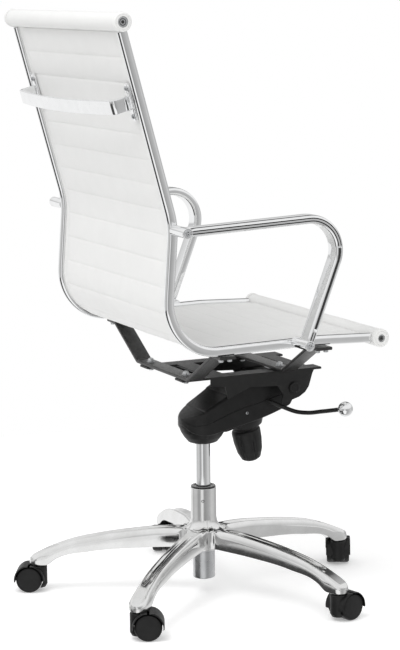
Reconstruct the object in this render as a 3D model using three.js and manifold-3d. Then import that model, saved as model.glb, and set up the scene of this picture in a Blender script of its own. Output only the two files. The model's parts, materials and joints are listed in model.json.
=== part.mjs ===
// Swivel office chair: a high-back sling seat on two chromed side rails, loop arms, a knee-tilt
// mechanism, a gas lift and a five-star base on twin-wheel casters.
// Units are millimetres, +Z is up, the gas-lift axis is the origin and the seat faces -Y.
import * as THREE from "three";
import { mergeVertices } from "three/addons/utils/BufferGeometryUtils.js";
import Module from "manifold-3d";

const wasm = await Module();
wasm.setup();

const GAP = 0.3; // clearance between neighbouring pieces

// --- Base ------------------------------------------------------------------------------------
const LEGS = 5;
const FIRST_LEG_DEG = 60.75; // direction of the first leg, seen from above
const BOSS_RADIUS_POS = 319; // stem axis to column axis
const BOSS_R = 17.5;
const BOSS_BOTTOM = 53;
const BOSS_TOP = 72;
const LEG_WIDTH = 36;
const COLLAR_R = 24.5;
const COLLAR_TOP = 205;
const HUB_BOTTOM = 84;
const TUBE_R = 21;
const TUBE_BOTTOM = 28.5;
// Side profile of a leg, as distance from the column axis and height.
const LEG_TOP = [
  [8, 120], [60, 127.5], [130, 122], [200, 112.5], [255, 101], [305, 82], [330, 68], [336.5, 53],
];
const LEG_UNDER = [[302, 53], [290, 64], [218, 81], [124, 89], [8, 92]];

// --- Casters ---------------------------------------------------------------------------------
const WHEEL_R = 25;
const WHEEL_IN = 4; // inner face of a wheel, from the caster's middle plane
const WHEEL_OUT = 23;
const TRAIL = 17; // stem axis to wheel axle
const HOOD_TOP = 50.6;
const CASTER_DEG = [62, 245, 284, 332, 148]; // direction each caster trails, by leg

// --- Gas lift --------------------------------------------------------------------------------
const LIFT_R = 14;
const LIFT_BOTTOM = 118;
const LIFT_TOP = 336;
const ROD_R = 5;

// --- Mechanism -------------------------------------------------------------------------------
const PIVOT_Y = -147;
const PIVOT_Z = 400;
const SHAFT_R = 6;
const CHEEK_X = 95; // outer face of the bracket's side plates
const HOUSING_X = 47; // half width at the rear
const HOUSING_FRONT_X = 62; // half width at the front
const HOUSING_SIDE = [
  [47, 331], [47, 345], [15, 361], [-30, 387], [-60, 402], [-122, 416], [-147, 418], [-161, 412],
  [-167, 400], [-162, 386], [-150, 366], [-138, 353], [-22, 319.4], [0, 314], [22, 314], [40, 322],
];
const COVER_SLOPE = Math.atan2(33.6, 116);
const KNOB_AT = [0, -86.5, 331];
const KNOB_TILT = THREE.MathUtils.degToRad(12);
const LEVER_HOLE = [-104, 374];
const LEVER_PATH = [
  [-42, -101, 375], [-64, -107, 372.5], [-82, -127, 363], [-104, -146, 355], [-128, -157, 356],
  [-165, -168, 364], [-214, -182, 375.5],
];
const BALL_AT = [-224, -185, 377.5];
const BALL_R = 14;

// --- Seat frame ------------------------------------------------------------------------------
const RAIL_X = 245;
const RAIL_W = 15;
const RAIL_D = 18;
const TOP_ROLL = [267, 1094];
const FRONT_ROLL = [-240, 511];
const ROLL_R = 16.5;
const ROLL_END = 252.6;
const CAP_END = 262;
// Corner points of the side profile, with the bend radius at each.
const SEAT_PROFILE = [
  [267, 1094, 0], [171, 741, 150], [188, 510.5, 92], [-115, 516, 300], [-240, 511, 0],
];
const SLING_T = 6;
const RIB_PITCH = 46;

// --- Arms ------------------------------------------------------------------------------------
const ARM_X = 290;
const ARM_W = 34;
const ARM_T = 16;
const ARM_PROFILE = [[172, 734, 0], [-156, 748, 58], [-66, 518, 0]];
const STUB_R = 9.6;
const ARM_OUT = 307;

// --- Cross braces ----------------------------------------------------------------------------
const BRACE_T = 6;
const BRACE_W = 32;
const BRACE_Y = [70, -126];
const BRACE_LINE = [[-252, 499.5], [-218, 499.5], [-112, 438], [112, 438], [218, 499.5], [252, 499.5]];

// --- Colours ---------------------------------------------------------------------------------
const finish = (color, roughness, metalness) =>
  new THREE.MeshStandardMaterial({ color, roughness, metalness });
const chrome = finish(0xd9dadb, 0.08, 1);
const aluminium = finish(0xd2d3d2, 0.12, 1);
const steel = finish(0xa9abad, 0.3, 1);
const leather = finish(0xf1f1ef, 0.5, 0);
const whitePlastic = finish(0xeeeeec, 0.4, 0);
const blackPlastic = finish(0x1c1c1b, 0.55, 0);
const blackSteel = finish(0x2a2a29, 0.45, 0.2);

// --- Geometry helpers ------------------------------------------------------------------------
const deg = THREE.MathUtils.degToRad;
const vec = (p) => new THREE.Vector3(...p);

// A closed geometry with merged corners and its faces turned outward.
function closed(geometry) {
  const g = geometry.clone();
  for (const name of Object.keys(g.attributes)) if (name !== "position") g.deleteAttribute(name);
  const m = mergeVertices(g, 1e-3);
  const p = m.attributes.position, ix = m.index.array, keep = [];
  for (let i = 0; i < ix.length; i += 3) {
    const [a, b, c] = [ix[i], ix[i + 1], ix[i + 2]];
    if (a !== b && b !== c && a !== c) keep.push(a, b, c);
  }
  let volume = 0;
  const [A, B, C] = [new THREE.Vector3(), new THREE.Vector3(), new THREE.Vector3()];
  for (let i = 0; i < keep.length; i += 3) {
    A.fromBufferAttribute(p, keep[i]);
    B.fromBufferAttribute(p, keep[i + 1]);
    C.fromBufferAttribute(p, keep[i + 2]);
    volume += A.dot(B.cross(C));
  }
  if (volume < 0) for (let i = 0; i < keep.length; i += 3) [keep[i], keep[i + 1]] = [keep[i + 1], keep[i]];
  m.setIndex(keep);
  return m;
}

function solid(geometry) {
  const g = closed(geometry);
  return new wasm.Manifold(new wasm.Mesh({
    numProp: 3,
    vertProperties: new Float32Array(g.attributes.position.array),
    triVerts: new Uint32Array(g.index.array),
  }));
}

function geometryOf(manifold) {
  const mesh = manifold.getMesh(), g = new THREE.BufferGeometry();
  g.setAttribute("position", new THREE.BufferAttribute(new Float32Array(mesh.vertProperties), 3));
  g.setIndex(new THREE.BufferAttribute(new Uint32Array(mesh.triVerts), 1));
  return g;
}

const join = (...parts) =>
  geometryOf(parts.slice(1).reduce((sum, part) => sum.add(solid(part)), solid(parts[0])));
const cut = (body, ...tools) =>
  geometryOf(tools.reduce((left, tool) => left.subtract(solid(tool)), solid(body)));
const common = (a, b) => geometryOf(solid(a).intersect(solid(b)));
const moved = (g, x, y, z) => g.clone().translate(x, y, z);
const mirrored = (g) => closed(g.clone().scale(-1, 1, 1));

// A solid turned about the Z axis from [radius, height] points; the profile closes on itself.
function turned(points, segments = 20) {
  const ring = points.map(([r, z]) => new THREE.Vector2(r, z));
  if (points[0][0] > 0) ring.push(ring[0].clone());
  return closed(new THREE.LatheGeometry(ring, segments).rotateX(Math.PI / 2));
}

// A solid cylinder between two points.
function rod(from, to, radius, segments = 16) {
  const a = vec(from), b = vec(to), axis = b.clone().sub(a);
  const g = new THREE.CylinderGeometry(radius, radius, axis.length(), segments);
  g.applyQuaternion(new THREE.Quaternion().setFromUnitVectors(new THREE.Vector3(0, 1, 0), axis.normalize()));
  return g.translate(...a.add(b).multiplyScalar(0.5).toArray());
}

const box = (x0, x1, y0, y1, z0, z1) =>
  new THREE.BoxGeometry(x1 - x0, y1 - y0, z1 - z0).translate((x0 + x1) / 2, (y0 + y1) / 2, (z0 + z1) / 2);

const outline = (points) => new THREE.Shape(points.map(([x, y]) => new THREE.Vector2(x, y)));
// A regular outline with `sides` corners on an ellipse of radii a and b.
const ringOutline = (sides, a, b = a) => outline([...Array(sides).keys()].map((k) => {
  const turn = (2 * Math.PI * k) / sides;
  return [a * Math.cos(turn), b * Math.sin(turn)];
}));

// A plate drawn in the YZ plane and given its thickness along X.
function plateYZ(points, x0, x1, bevel = 0) {
  const depth = x1 - x0 - 2 * bevel;
  const g = new THREE.ExtrudeGeometry(outline(points), {
    depth, bevelEnabled: bevel > 0, bevelThickness: bevel, bevelSize: bevel, bevelOffset: -bevel,
    bevelSegments: 2,
  });
  const turn = new THREE.Matrix4().makeBasis(vec([0, 1, 0]), vec([0, 0, 1]), vec([1, 0, 0]));
  return closed(g.applyMatrix4(turn).translate(x0 + bevel, 0, 0));
}

// A plate drawn in the XZ plane and given its thickness along Y.
function plateXZ(points, y0, y1) {
  const g = new THREE.ExtrudeGeometry(outline(points), { depth: y1 - y0, bevelEnabled: false });
  return closed(g.rotateX(Math.PI / 2).translate(0, y1, 0));
}

// A plate drawn in the XY plane and given its height along Z.
const plateXY = (points, z0, z1) =>
  closed(new THREE.ExtrudeGeometry(outline(points), { depth: z1 - z0, bevelEnabled: false }).translate(0, 0, z0));

// Points along a polyline whose corners [y, z, radius] are rounded by circular arcs.
function rounded(corners, arcSteps = 8) {
  const pts = corners.map(([y, z]) => new THREE.Vector2(y, z)), out = [pts[0].clone()];
  for (let i = 1; i < pts.length - 1; i++) {
    const a = pts[i - 1].clone().sub(pts[i]).normalize(), b = pts[i + 1].clone().sub(pts[i]).normalize();
    const half = Math.acos(THREE.MathUtils.clamp(a.dot(b), -1, 1)) / 2, radius = corners[i][2];
    const reach = radius / Math.tan(half), middle = a.clone().add(b).normalize();
    const centre = pts[i].clone().addScaledVector(middle, radius / Math.sin(half));
    const start = pts[i].clone().addScaledVector(a, reach).sub(centre);
    const end = pts[i].clone().addScaledVector(b, reach).sub(centre);
    const turn = Math.atan2(start.cross(end), start.dot(end)), zero = new THREE.Vector2();
    for (let k = 0; k <= arcSteps; k++) {
      out.push(start.clone().rotateAround(zero, (turn * k) / arcSteps).add(centre));
    }
  }
  out.push(pts.at(-1).clone());
  return out;
}

// The part of a polyline left after cutting `head` and `tail` off its ends.
function trimmed(points, head, tail) {
  const clip = (pts, length) => {
    const out = pts.map((p) => p.clone());
    while (out.length > 2 && out[0].distanceTo(out[1]) < length) length -= out.shift().distanceTo(out[0]);
    out[0].lerp(out[1], length / out[0].distanceTo(out[1]));
    return out;
  };
  return clip(clip(points, head).reverse(), tail).reverse();
}

// Both sides of a polyline, `side(s)` giving the offsets [plus, minus] at the distance s along it.
function band(points, side) {
  const plus = [], minus = [];
  let s = 0;
  points.forEach((p, i) => {
    if (i) s += p.distanceTo(points[i - 1]);
    const d = points[Math.min(i + 1, points.length - 1)].clone().sub(points[Math.max(i - 1, 0)]).normalize();
    const n = new THREE.Vector2(-d.y, d.x), [a, b] = side(s);
    plus.push([p.x + n.x * a, p.y + n.y * a]);
    minus.unshift([p.x - n.x * b, p.y - n.y * b]);
  });
  return [...plus, ...minus];
}

// The same polyline sampled at even steps.
function resampled(points, step) {
  const total = points.reduce((sum, p, i) => sum + (i ? p.distanceTo(points[i - 1]) : 0), 0);
  const count = Math.round(total / step), out = [points[0].clone()];
  let i = 1, gone = 0;
  for (let k = 1; k < count; k++) {
    const want = (total * k) / count;
    while (gone + points[i].distanceTo(points[i - 1]) < want) gone += points[i].distanceTo(points[i++ - 1]);
    out.push(points[i - 1].clone().lerp(points[i], (want - gone) / points[i].distanceTo(points[i - 1])));
  }
  return [...out, points.at(-1).clone()];
}

// The solid between both sides of a polyline, from x0 to x1, built strip by strip.
function slab(points, side, x0, x1) {
  const ring = band(points, side), n = points.length, position = [], index = [];
  for (const x of [x0, x1]) for (const [y, z] of ring) position.push(x, y, z);
  const quad = (a, b, c, d) => index.push(a, b, c, a, c, d);
  const m = 2 * n;
  for (let i = 0; i < m; i++) quad(i, (i + 1) % m, ((i + 1) % m) + m, i + m);
  for (let i = 0; i < n - 1; i++) {
    quad(i, m - 1 - i, m - 2 - i, i + 1);
    quad(i + m, i + 1 + m, 2 * m - 2 - i, 2 * m - 1 - i);
  }
  const g = new THREE.BufferGeometry();
  g.setAttribute("position", new THREE.BufferAttribute(new Float32Array(position), 3));
  g.setIndex(index);
  return closed(g);
}

// A rounded section `width` wide across X and `depth` deep, swept along a polyline in the plane x = 0.
function swept(points, width, depth, power, sides) {
  const section = [];
  for (let k = 0; k < sides; k++) {
    const a = (2 * Math.PI * (k + 0.5)) / sides, c = Math.cos(a), s = Math.sin(a);
    const out = (v, size) => (Math.sign(v) * Math.abs(v) ** power * size) / 2;
    section.push([out(c, width), out(s, depth)]);
  }
  const curve = new THREE.CatmullRomCurve3(points.map((p) => vec([0, p.x, p.y])), false, "centripetal");
  return closed(new THREE.ExtrudeGeometry(outline(section), {
    steps: points.length - 1, bevelEnabled: false, extrudePath: curve,
  }));
}

// --- Assembly --------------------------------------------------------------------------------
const group = new THREE.Group();
group.name = "swivel_office_chair";

function add(name, geometry, material) {
  const mesh = new THREE.Mesh(closed(geometry), material);
  mesh.name = name;
  group.add(mesh);
  return mesh;
}

const legAngle = (k) => deg(FIRST_LEG_DEG + (360 / LEGS) * k);

// Five-star base: the collar and hub turned as one, five arched legs with a channel along the top and
// a hollow underneath, and a boss with a blind stem hole at each tip.
function starBase() {
  const valleyLine = LEG_TOP.slice(1, 6).map(([r, z], i) => vec([r - (i ? 0 : 20), 0, z + 1.5]));
  const valley = new THREE.ExtrudeGeometry(ringOutline(6, 7, 7.5), {
    steps: 5, bevelEnabled: false, extrudePath: new THREE.CatmullRomCurve3(valleyLine),
  });
  const profileOf = (inset) =>
    outline([...LEG_TOP.map(([r, z]) => [r, Math.max(z - inset, BOSS_BOTTOM)]), ...LEG_UNDER]);
  const web = (inset, width) =>
    new THREE.ExtrudeGeometry(profileOf(inset), { depth: width, bevelEnabled: false })
      .rotateX(Math.PI / 2).translate(0, width / 2, 0);
  const side = join(web(3.5, LEG_WIDTH), web(0, LEG_WIDTH - 9));
  const hollowTop = LEG_UNDER.slice(1, 4).reverse().map(([r, z]) => [r, z + 9]);
  const hollow = new THREE.ExtrudeGeometry(
    outline([[44, 60], [44, 101], ...hollowTop.slice(0, 2), [280, 70], [280, 50]]),
    { depth: LEG_WIDTH - 9, bevelEnabled: false },
  ).rotateX(Math.PI / 2).translate(0, (LEG_WIDTH - 9) / 2, 0);
  const boss = turned([
    [0, BOSS_BOTTOM], [BOSS_R, BOSS_BOTTOM], [BOSS_R, 66], [BOSS_R - 4, BOSS_TOP - 1], [0, BOSS_TOP],
  ], 14);
  const stemHole = rod([BOSS_RADIUS_POS, 0, 40], [BOSS_RADIUS_POS, 0, 65.8], 6, 8);
  const leg = cut(join(side, moved(boss, BOSS_RADIUS_POS, 0, 0)), valley, hollow, stemHole);
  const hub = turned([
    [0, HUB_BOTTOM], [27, HUB_BOTTOM], [31, 96], [31, 124], [26, 134], [COLLAR_R, 146],
    [COLLAR_R, COLLAR_TOP], [0, COLLAR_TOP],
  ], 20);
  const legs = [...Array(LEGS).keys()].map((k) => leg.clone().rotateZ(legAngle(k)));
  const bore = rod([0, 0, HUB_BOTTOM - 5], [0, 0, COLLAR_TOP + 5], TUBE_R + GAP, 20);
  const screwAt = deg(FIRST_LEG_DEG + 91);
  const screwHole = rod([0, 0, 182], [60 * Math.cos(screwAt), 60 * Math.sin(screwAt), 182], 3 + GAP, 12);
  return cut(join(hub, ...legs), bore, screwHole);
}
add("star_base", starBase(), aluminium);

const screwAt = deg(FIRST_LEG_DEG + 91);
const along = (angle, r, z) => [r * Math.cos(angle), r * Math.sin(angle), z];
add("collar_set_screw", rod(along(screwAt, TUBE_R + 1, 182), along(screwAt, COLLAR_R - 0.4, 182), 3, 12), blackSteel);
add("column_tube", turned([
  [6, TUBE_BOTTOM], [TUBE_R, TUBE_BOTTOM], [TUBE_R, 200], [18, 200], [18, TUBE_BOTTOM + 3.5],
  [6, TUBE_BOTTOM + 3.5],
]), steel);
add("guide_bush", turned([
  [LIFT_R + GAP, 178], [17.7, 178], [17.7, 200.3], [20.9, 200.3], [20.9, COLLAR_TOP + GAP],
  [23.8, COLLAR_TOP + GAP], [23.3, 208.2], [LIFT_R + GAP, 208.2],
]), blackPlastic);

// Gas lift: the thin rod stands on the tube's floor, held by a clip, and the cylinder slides on it.
add("piston_rod", rod([0, 0, 23.5], [0, 0, 140], ROD_R, 16), steel);
add("retaining_clip", turned([[ROD_R + GAP, 25], [10, 25], [10, 27.8], [ROD_R + GAP, 27.8]], 20), blackSteel);
add("gas_cylinder", turned([
  [ROD_R + GAP, LIFT_BOTTOM], [LIFT_R, LIFT_BOTTOM], [LIFT_R, 300], [LIFT_R - 1.5, LIFT_TOP],
  [ROD_R + GAP, LIFT_TOP],
]), chrome);

// The round seat of the gas lift, grown by `extra` all round.
const liftSeat = (extra) => turned([
  [0, 292 - extra], [21 + extra, 292 - extra], [28 + extra, 294.5 - extra], [36 + extra, 304 - extra],
  [42 + extra, 314 - extra], [46 + extra, 325 - extra], [HOUSING_X + extra, 335],
  [HOUSING_X + extra, 340 + extra], [0, 340 + extra],
], 24);

// Lower housing: a wedge that runs from the round seat of the gas lift up to the tilt shaft.
function lowerHousing() {
  const plan = [[-HOUSING_FRONT_X, -175], [HOUSING_FRONT_X, -175], [HOUSING_FRONT_X, -95], [HOUSING_X, -8]];
  for (let k = 0; k <= 10; k++) {
    plan.push([HOUSING_X * Math.cos((k * Math.PI) / 10), HOUSING_X * Math.sin((k * Math.PI) / 10)]);
  }
  plan.push([-HOUSING_X, -8], [-HOUSING_FRONT_X, -95]);
  const wedge = common(plateYZ(HOUSING_SIDE, -70, 70), plateXY(plan, 280, 440));
  const seat = liftSeat(0);
  return cut(
    join(wedge, seat),
    rod([0, 0, 280], [0, 0, LIFT_TOP + GAP], LIFT_R + GAP, 20),
    rod([-80, PIVOT_Y, PIVOT_Z], [80, PIVOT_Y, PIVOT_Z], SHAFT_R + GAP, 20),
    box(-30, 30, -118, -52, 352, 430),
    rod([-80, ...LEVER_HOLE], [-36, ...LEVER_HOLE], 11, 20),
    knobAxisRod(-30, 20, 5 + GAP),
    rod([-80, -66, 352], [-52, -66, 352], 3 + GAP, 12),
  );
}
// A cylinder on the knob's axis between two distances below KNOB_AT.
function knobAxisRod(from, to, radius, segments = 16) {
  const down = vec([0, -Math.sin(KNOB_TILT), -Math.cos(KNOB_TILT)]);
  const at = (t) => vec(KNOB_AT).addScaledVector(down, t).toArray();
  return rod(at(from), at(to), radius, segments);
}
const onKnobAxis = (g) => g.clone().rotateX(-KNOB_TILT).translate(...KNOB_AT);
add("lower_housing", lowerHousing(), blackPlastic);
add("housing_screw", rod([-59.5, -66, 352], [-54.5, -66, 352], 3, 12), steel);

// Bottom cover with the round boss the tension knob hangs from.
function housingCover() {
  const slope = new THREE.Matrix4().makeRotationX(-COVER_SLOPE).setPosition(0, -80, 336.2);
  const tray = box(-42, 42, -57, 57, -5.6, -0.3).applyMatrix4(slope);
  const boss = new THREE.CylinderGeometry(38, 29, 20, 20).rotateX(Math.PI / 2).translate(0, -9, -15)
    .applyMatrix4(slope);
  return cut(join(tray, boss), knobAxisRod(-30, 60, 5 + GAP), liftSeat(0.6));
}
add("housing_cover", housingCover(), blackPlastic);
const shaftX = CHEEK_X - 0.2;
add("tilt_shaft", rod([-shaftX, PIVOT_Y, PIVOT_Z], [shaftX, PIVOT_Y, PIVOT_Z], SHAFT_R, 20), steel);

// Compression spring in the housing's pocket.
function spring(radius, wire, z0, z1, turns) {
  class Helix extends THREE.Curve {
    getPoint(t, target = new THREE.Vector3()) {
      const a = 2 * Math.PI * turns * t;
      return target.set(radius * Math.cos(a), radius * Math.sin(a), z0 + (z1 - z0) * t);
    }
  }
  return new THREE.ExtrudeGeometry(ringOutline(5, wire), {
    steps: 10 * turns, bevelEnabled: false, extrudePath: new Helix(),
  });
}
add("tilt_spring", spring(20, 2.4, 356, 398, 4).translate(0, -85, 0), steel);

// Tension knob: a tapered, fluted grip.
function tensionKnob() {
  const grip = turned([
    [0, -86], [12, -86], [18, -82], [24.5, -67], [27.5, -46], [28, -28], [27, -24], [0, -24],
  ], 18);
  const flutes = [...Array(6).keys()].map((k) => {
    const a = (2 * Math.PI * (k + 0.5)) / 6;
    return new THREE.CylinderGeometry(4.5, 4.5, 80, 6).rotateX(Math.PI / 2 + 0.12)
      .translate(0, 30.5, -62).rotateZ(a);
  });
  return onKnobAxis(cut(grip, ...flutes, rod([0, 0, -50], [0, 0, -10], 5 + GAP, 16)));
}
add("tension_knob", tensionKnob(), blackPlastic);
add("tension_screw", knobAxisRod(-16, 48, 5), steel);

// Height lever: a bent rod with a chrome ball.
function leverRod() {
  const curve = new THREE.CatmullRomCurve3(LEVER_PATH.map(vec), false, "centripetal");
  return new THREE.ExtrudeGeometry(ringOutline(8, 4), {
    steps: 15, bevelEnabled: false, extrudePath: curve,
  });
}
const leverBore = (() => {
  const [a, b] = [vec(LEVER_PATH.at(-2)), vec(LEVER_PATH.at(-1))];
  const at = (t) => b.clone().addScaledVector(b.clone().sub(a).normalize(), t).toArray();
  return rod(at(-12), at(0.6), 4.5, 16);
})();
add("height_lever", leverRod(), blackSteel);
const ball = new THREE.SphereGeometry(BALL_R, 14, 8).translate(...BALL_AT);
add("lever_ball", cut(ball, leverBore), chrome);

// Upper bracket: two side plates with an arched cut-out, tied by a front and a rear web, with ears that
// reach under both cross braces.
function tiltBracket() {
  const cheek = [
    [28, 434.5], [-192, 434.5], [-187, 425], [-179, 400], [-171, 389], [-158, 381], [-119, 370],
    [-124, 388], [-112, 406], [-54, 409], [-8, 391], [-2, 414], [28, 418],
  ];
  const left = plateYZ(cheek, CHEEK_X - 3, CHEEK_X), right = mirrored(left);
  const deck = box(-CHEEK_X, CHEEK_X, -206, 86, 430.5, 434.5);
  const opening = box(-62, 62, -160, -12, 420, 440), rearGap = box(-62, 62, 24, 90, 420, 440);
  const frontGap = box(-62, 62, -210, -190, 420, 440);
  const shaft = rod([-100, PIVOT_Y, PIVOT_Z], [100, PIVOT_Y, PIVOT_Z], SHAFT_R + GAP, 20);
  return cut(join(left, right, deck), opening, rearGap, frontGap, shaft);
}
add("tilt_bracket", tiltBracket(), blackSteel);
for (const [name, s] of [["left", 1], ["right", -1]]) {
  const cap = new THREE.CylinderGeometry(11, 11, 4, 16).rotateZ(Math.PI / 2)
    .translate(s * (CHEEK_X + 2 + GAP), PIVOT_Y, PIVOT_Z);
  add(`pivot_cap_${name}`, cap, blackPlastic);
}

// Cross braces: flat bars bent down to the bracket and up to flanges under the rails.
const braceLine = BRACE_LINE.map(([x, z]) => new THREE.Vector2(x, z));
const braceOutline = band(braceLine, () => [BRACE_T / 2, BRACE_T / 2]);
for (const [name, y] of [["rear", BRACE_Y[0]], ["front", BRACE_Y[1]]]) {
  add(`${name}_brace`, plateXZ(braceOutline, y - BRACE_W / 2, y + BRACE_W / 2), blackSteel);
}

// Side rails, from the top roll round the lumbar bend and the bottom bend to the front roll.
const profile = rounded(SEAT_PROFILE);
const railLine = trimmed(profile, ROLL_R + GAP + 0.2, ROLL_R + GAP + 0.2);
const rail = swept(railLine, RAIL_W, RAIL_D, 0.8, 10);
add("left_rail", moved(rail, RAIL_X, 0, 0), chrome);
add("right_rail", moved(rail, -RAIL_X, 0, 0), chrome);

// Sling: one ribbed sheet between the rails for back and seat.
const slingLine = resampled(trimmed(profile, ROLL_R + 0.6, ROLL_R + 0.6), RIB_PITCH / 3);
const rib = (s) => SLING_T / 2 - 1.1 + 1.6 * Math.abs(Math.sin((Math.PI * s) / RIB_PITCH));
const slingX = RAIL_X - RAIL_W / 2 - GAP;
add("sling", slab(slingLine, (s) => [rib(s), rib(s)], -slingX, slingX), leather);

// Top and front rolls: a crossbar tube, the padded roll round it and a cap at each end.
for (const [name, [y, z], barR] of [["top", TOP_ROLL, 9.2], ["front", FRONT_ROLL, 7]]) {
  const along = (g) => g.rotateY(Math.PI / 2).translate(0, y, z);
  const ring = (r0, r1, x0, x1) => along(turned([[r0, x0], [r1, x0], [r1, x1], [r0, x1]], 20));
  const end = CAP_END - 1.5;
  add(`${name}_crossbar`, along(turned([[3, -end], [barR, -end], [barR, end], [3, end]], 16)), steel);
  add(`${name}_roll`, ring(barR + GAP, ROLL_R, -ROLL_END, ROLL_END), leather);
  add(`${name}_cap_left`, ring(barR + GAP, ROLL_R + 0.5, ROLL_END + GAP, CAP_END), whitePlastic);
  add(`${name}_cap_right`, ring(barR + GAP, ROLL_R + 0.5, -CAP_END, -ROLL_END - GAP), whitePlastic);
}

// Grab handle across the back: a bowed flat bar whose ends turn in to screwed plates.
function grabHandle() {
  const lean = Math.atan2(TOP_ROLL[0] - SEAT_PROFILE[1][0], TOP_ROLL[1] - SEAT_PROFILE[1][1]);
  const rear = 8.5; // rear face of the screw plates, from the plane of the back
  const line = [[-222, rear - 1.5], [-222, rear + 18], [-214, rear + 30], [-196, rear + 34]];
  for (const x of [-130, -65, 0, 65, 130]) line.push([x, rear + 34 + 12 * (1 - (x / 196) ** 2)]);
  line.push([196, rear + 34], [214, rear + 30], [222, rear + 18], [222, rear - 1.5]);
  const pts = line.map(([x, y]) => new THREE.Vector2(x, y));
  const bar = plateXY(band(pts, () => [2.2, 2.2]), -13, 13);
  const plate = (x) => {
    const shape = new THREE.Shape();
    shape.absarc(0, 29, 8, 0, Math.PI).absarc(0, -29, 8, Math.PI, 2 * Math.PI);
    return new THREE.ExtrudeGeometry(shape, { depth: 4, bevelEnabled: false, curveSegments: 5 })
      .rotateX(Math.PI / 2).translate(x, rear, 0);
  };
  const g = join(bar, plate(-222), plate(222));
  return g.rotateX(-lean).translate(0, 229.9, 957.5);
}
add("grab_handle", grabHandle(), chrome);

// Loop arms: a flat rounded bar from the lumbar stub over the armrest and down to the foot pin, with a
// long slot in the outer face of the leg.
const armLine = rounded(ARM_PROFILE, 8);
const [legTop, legEnd] = [new THREE.Vector2(...ARM_PROFILE[1]), new THREE.Vector2(...ARM_PROFILE[2])];
const legDir = legEnd.clone().sub(legTop).normalize();
function armGeometry() {
  const body = swept(armLine, ARM_W, ARM_T, 0.7, 10);
  const mid = legTop.clone().addScaledVector(legDir, 158);
  const slot = new THREE.BoxGeometry(6, 6.5, 126).rotateX(Math.atan2(legDir.x, -legDir.y))
    .translate(-ARM_W / 2, mid.x, mid.y);
  const hinge = ([y, z]) => rod([-30, y, z], [30, y, z], STUB_R + GAP + 0.2, 16);
  return moved(cut(body, slot, hinge(ARM_PROFILE[0]), hinge(ARM_PROFILE[2])), -ARM_X, 0, 0);
}
const arm = armGeometry();
add("right_arm", arm, chrome);
add("left_arm", mirrored(arm), chrome);
for (const [side, s] of [["left", 1], ["right", -1]]) {
  for (const [name, [y, z]] of [["arm_stub", ARM_PROFILE[0]], ["arm_foot", ARM_PROFILE[2]]]) {
    const inner = RAIL_X + RAIL_W / 2 + GAP;
    const pin = rod([s * inner, y, z], [s * (ARM_OUT + 0.5), y, z], STUB_R, 16);
    const socket = rod([s * (ARM_OUT - 3), y, z], [s * (ARM_OUT + 3), y, z], 4.5, 8);
    add(`${name}_${side}`, cut(pin, socket), chrome);
  }
}

// Casters: stem, hood with its axle, and two wheels, each turned to its own trailing direction.
function casterHood() {
  const block = turned([[0, 22], [14, 22], [16, 25], [16, HOOD_TOP - 3], [13, HOOD_TOP], [0, HOOD_TOP]], 12);
  const acrossAxle = (r, y0, y1, segments) => rod([TRAIL, y0, WHEEL_R], [TRAIL, y1, WHEEL_R], r, segments);
  const fender = cut(acrossAxle(29, -24.5, 24.5, 16), box(-60, 60, -60, 60, -20, WHEEL_R - 3));
  const bays = [1, -1].map((s) => acrossAxle(26.6, s * 3.2, s * 40, 16));
  const stemHole = rod([0, 0, 45.6], [0, 0, 60], 6.1, 8);
  const trimTop = box(-60, 60, -60, 60, HOOD_TOP, 90);
  return cut(join(cut(join(block, fender), ...bays, trimTop), acrossAxle(2.4, -22, 22, 6)), stemHole);
}
const hood = casterHood();
const stem = turned([
  [0, 45.9], [5.5, 45.9], [5.5, 50.9], [9.5, 50.9], [9.5, 52.6], [5.5, 52.6], [5.5, 65.4], [0, 65.4],
], 10);
const wheelProfile = [
  [2.8, WHEEL_IN], [WHEEL_R, WHEEL_IN], [WHEEL_R, WHEEL_OUT - 4],
  [WHEEL_R - 4, WHEEL_OUT], [2.8, WHEEL_OUT],
];
const wheel = turned(wheelProfile, 16).rotateX(-Math.PI / 2).translate(TRAIL, 0, WHEEL_R);
for (let k = 0; k < LEGS; k++) {
  const place = (g) => g.clone().rotateZ(deg(CASTER_DEG[k])).translate(...along(legAngle(k), BOSS_RADIUS_POS, 0));
  add(`caster_${k + 1}_stem`, place(stem), steel);
  add(`caster_${k + 1}_hood`, place(hood), blackPlastic);
  add(`caster_${k + 1}_wheel_a`, place(wheel), blackPlastic);
  add(`caster_${k + 1}_wheel_b`, place(closed(wheel.clone().scale(1, -1, 1))), blackPlastic);
}

export default group;
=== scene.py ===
"""Looks of a high-back swivel office chair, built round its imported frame.

Sizes are in millimetres in the frame's own axes: +Z up, the gas-lift axis at the origin, the seat
facing -Y. Every shape is a surface on a grid of two parameters, worked out with whole numpy arrays.
"""

from __future__ import annotations

import json
import logging
import math
from dataclasses import dataclass, field
from enum import Enum
from typing import Callable, Sequence

import bmesh
import bpy
import numpy as np
from mathutils import Matrix, Vector

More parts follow.
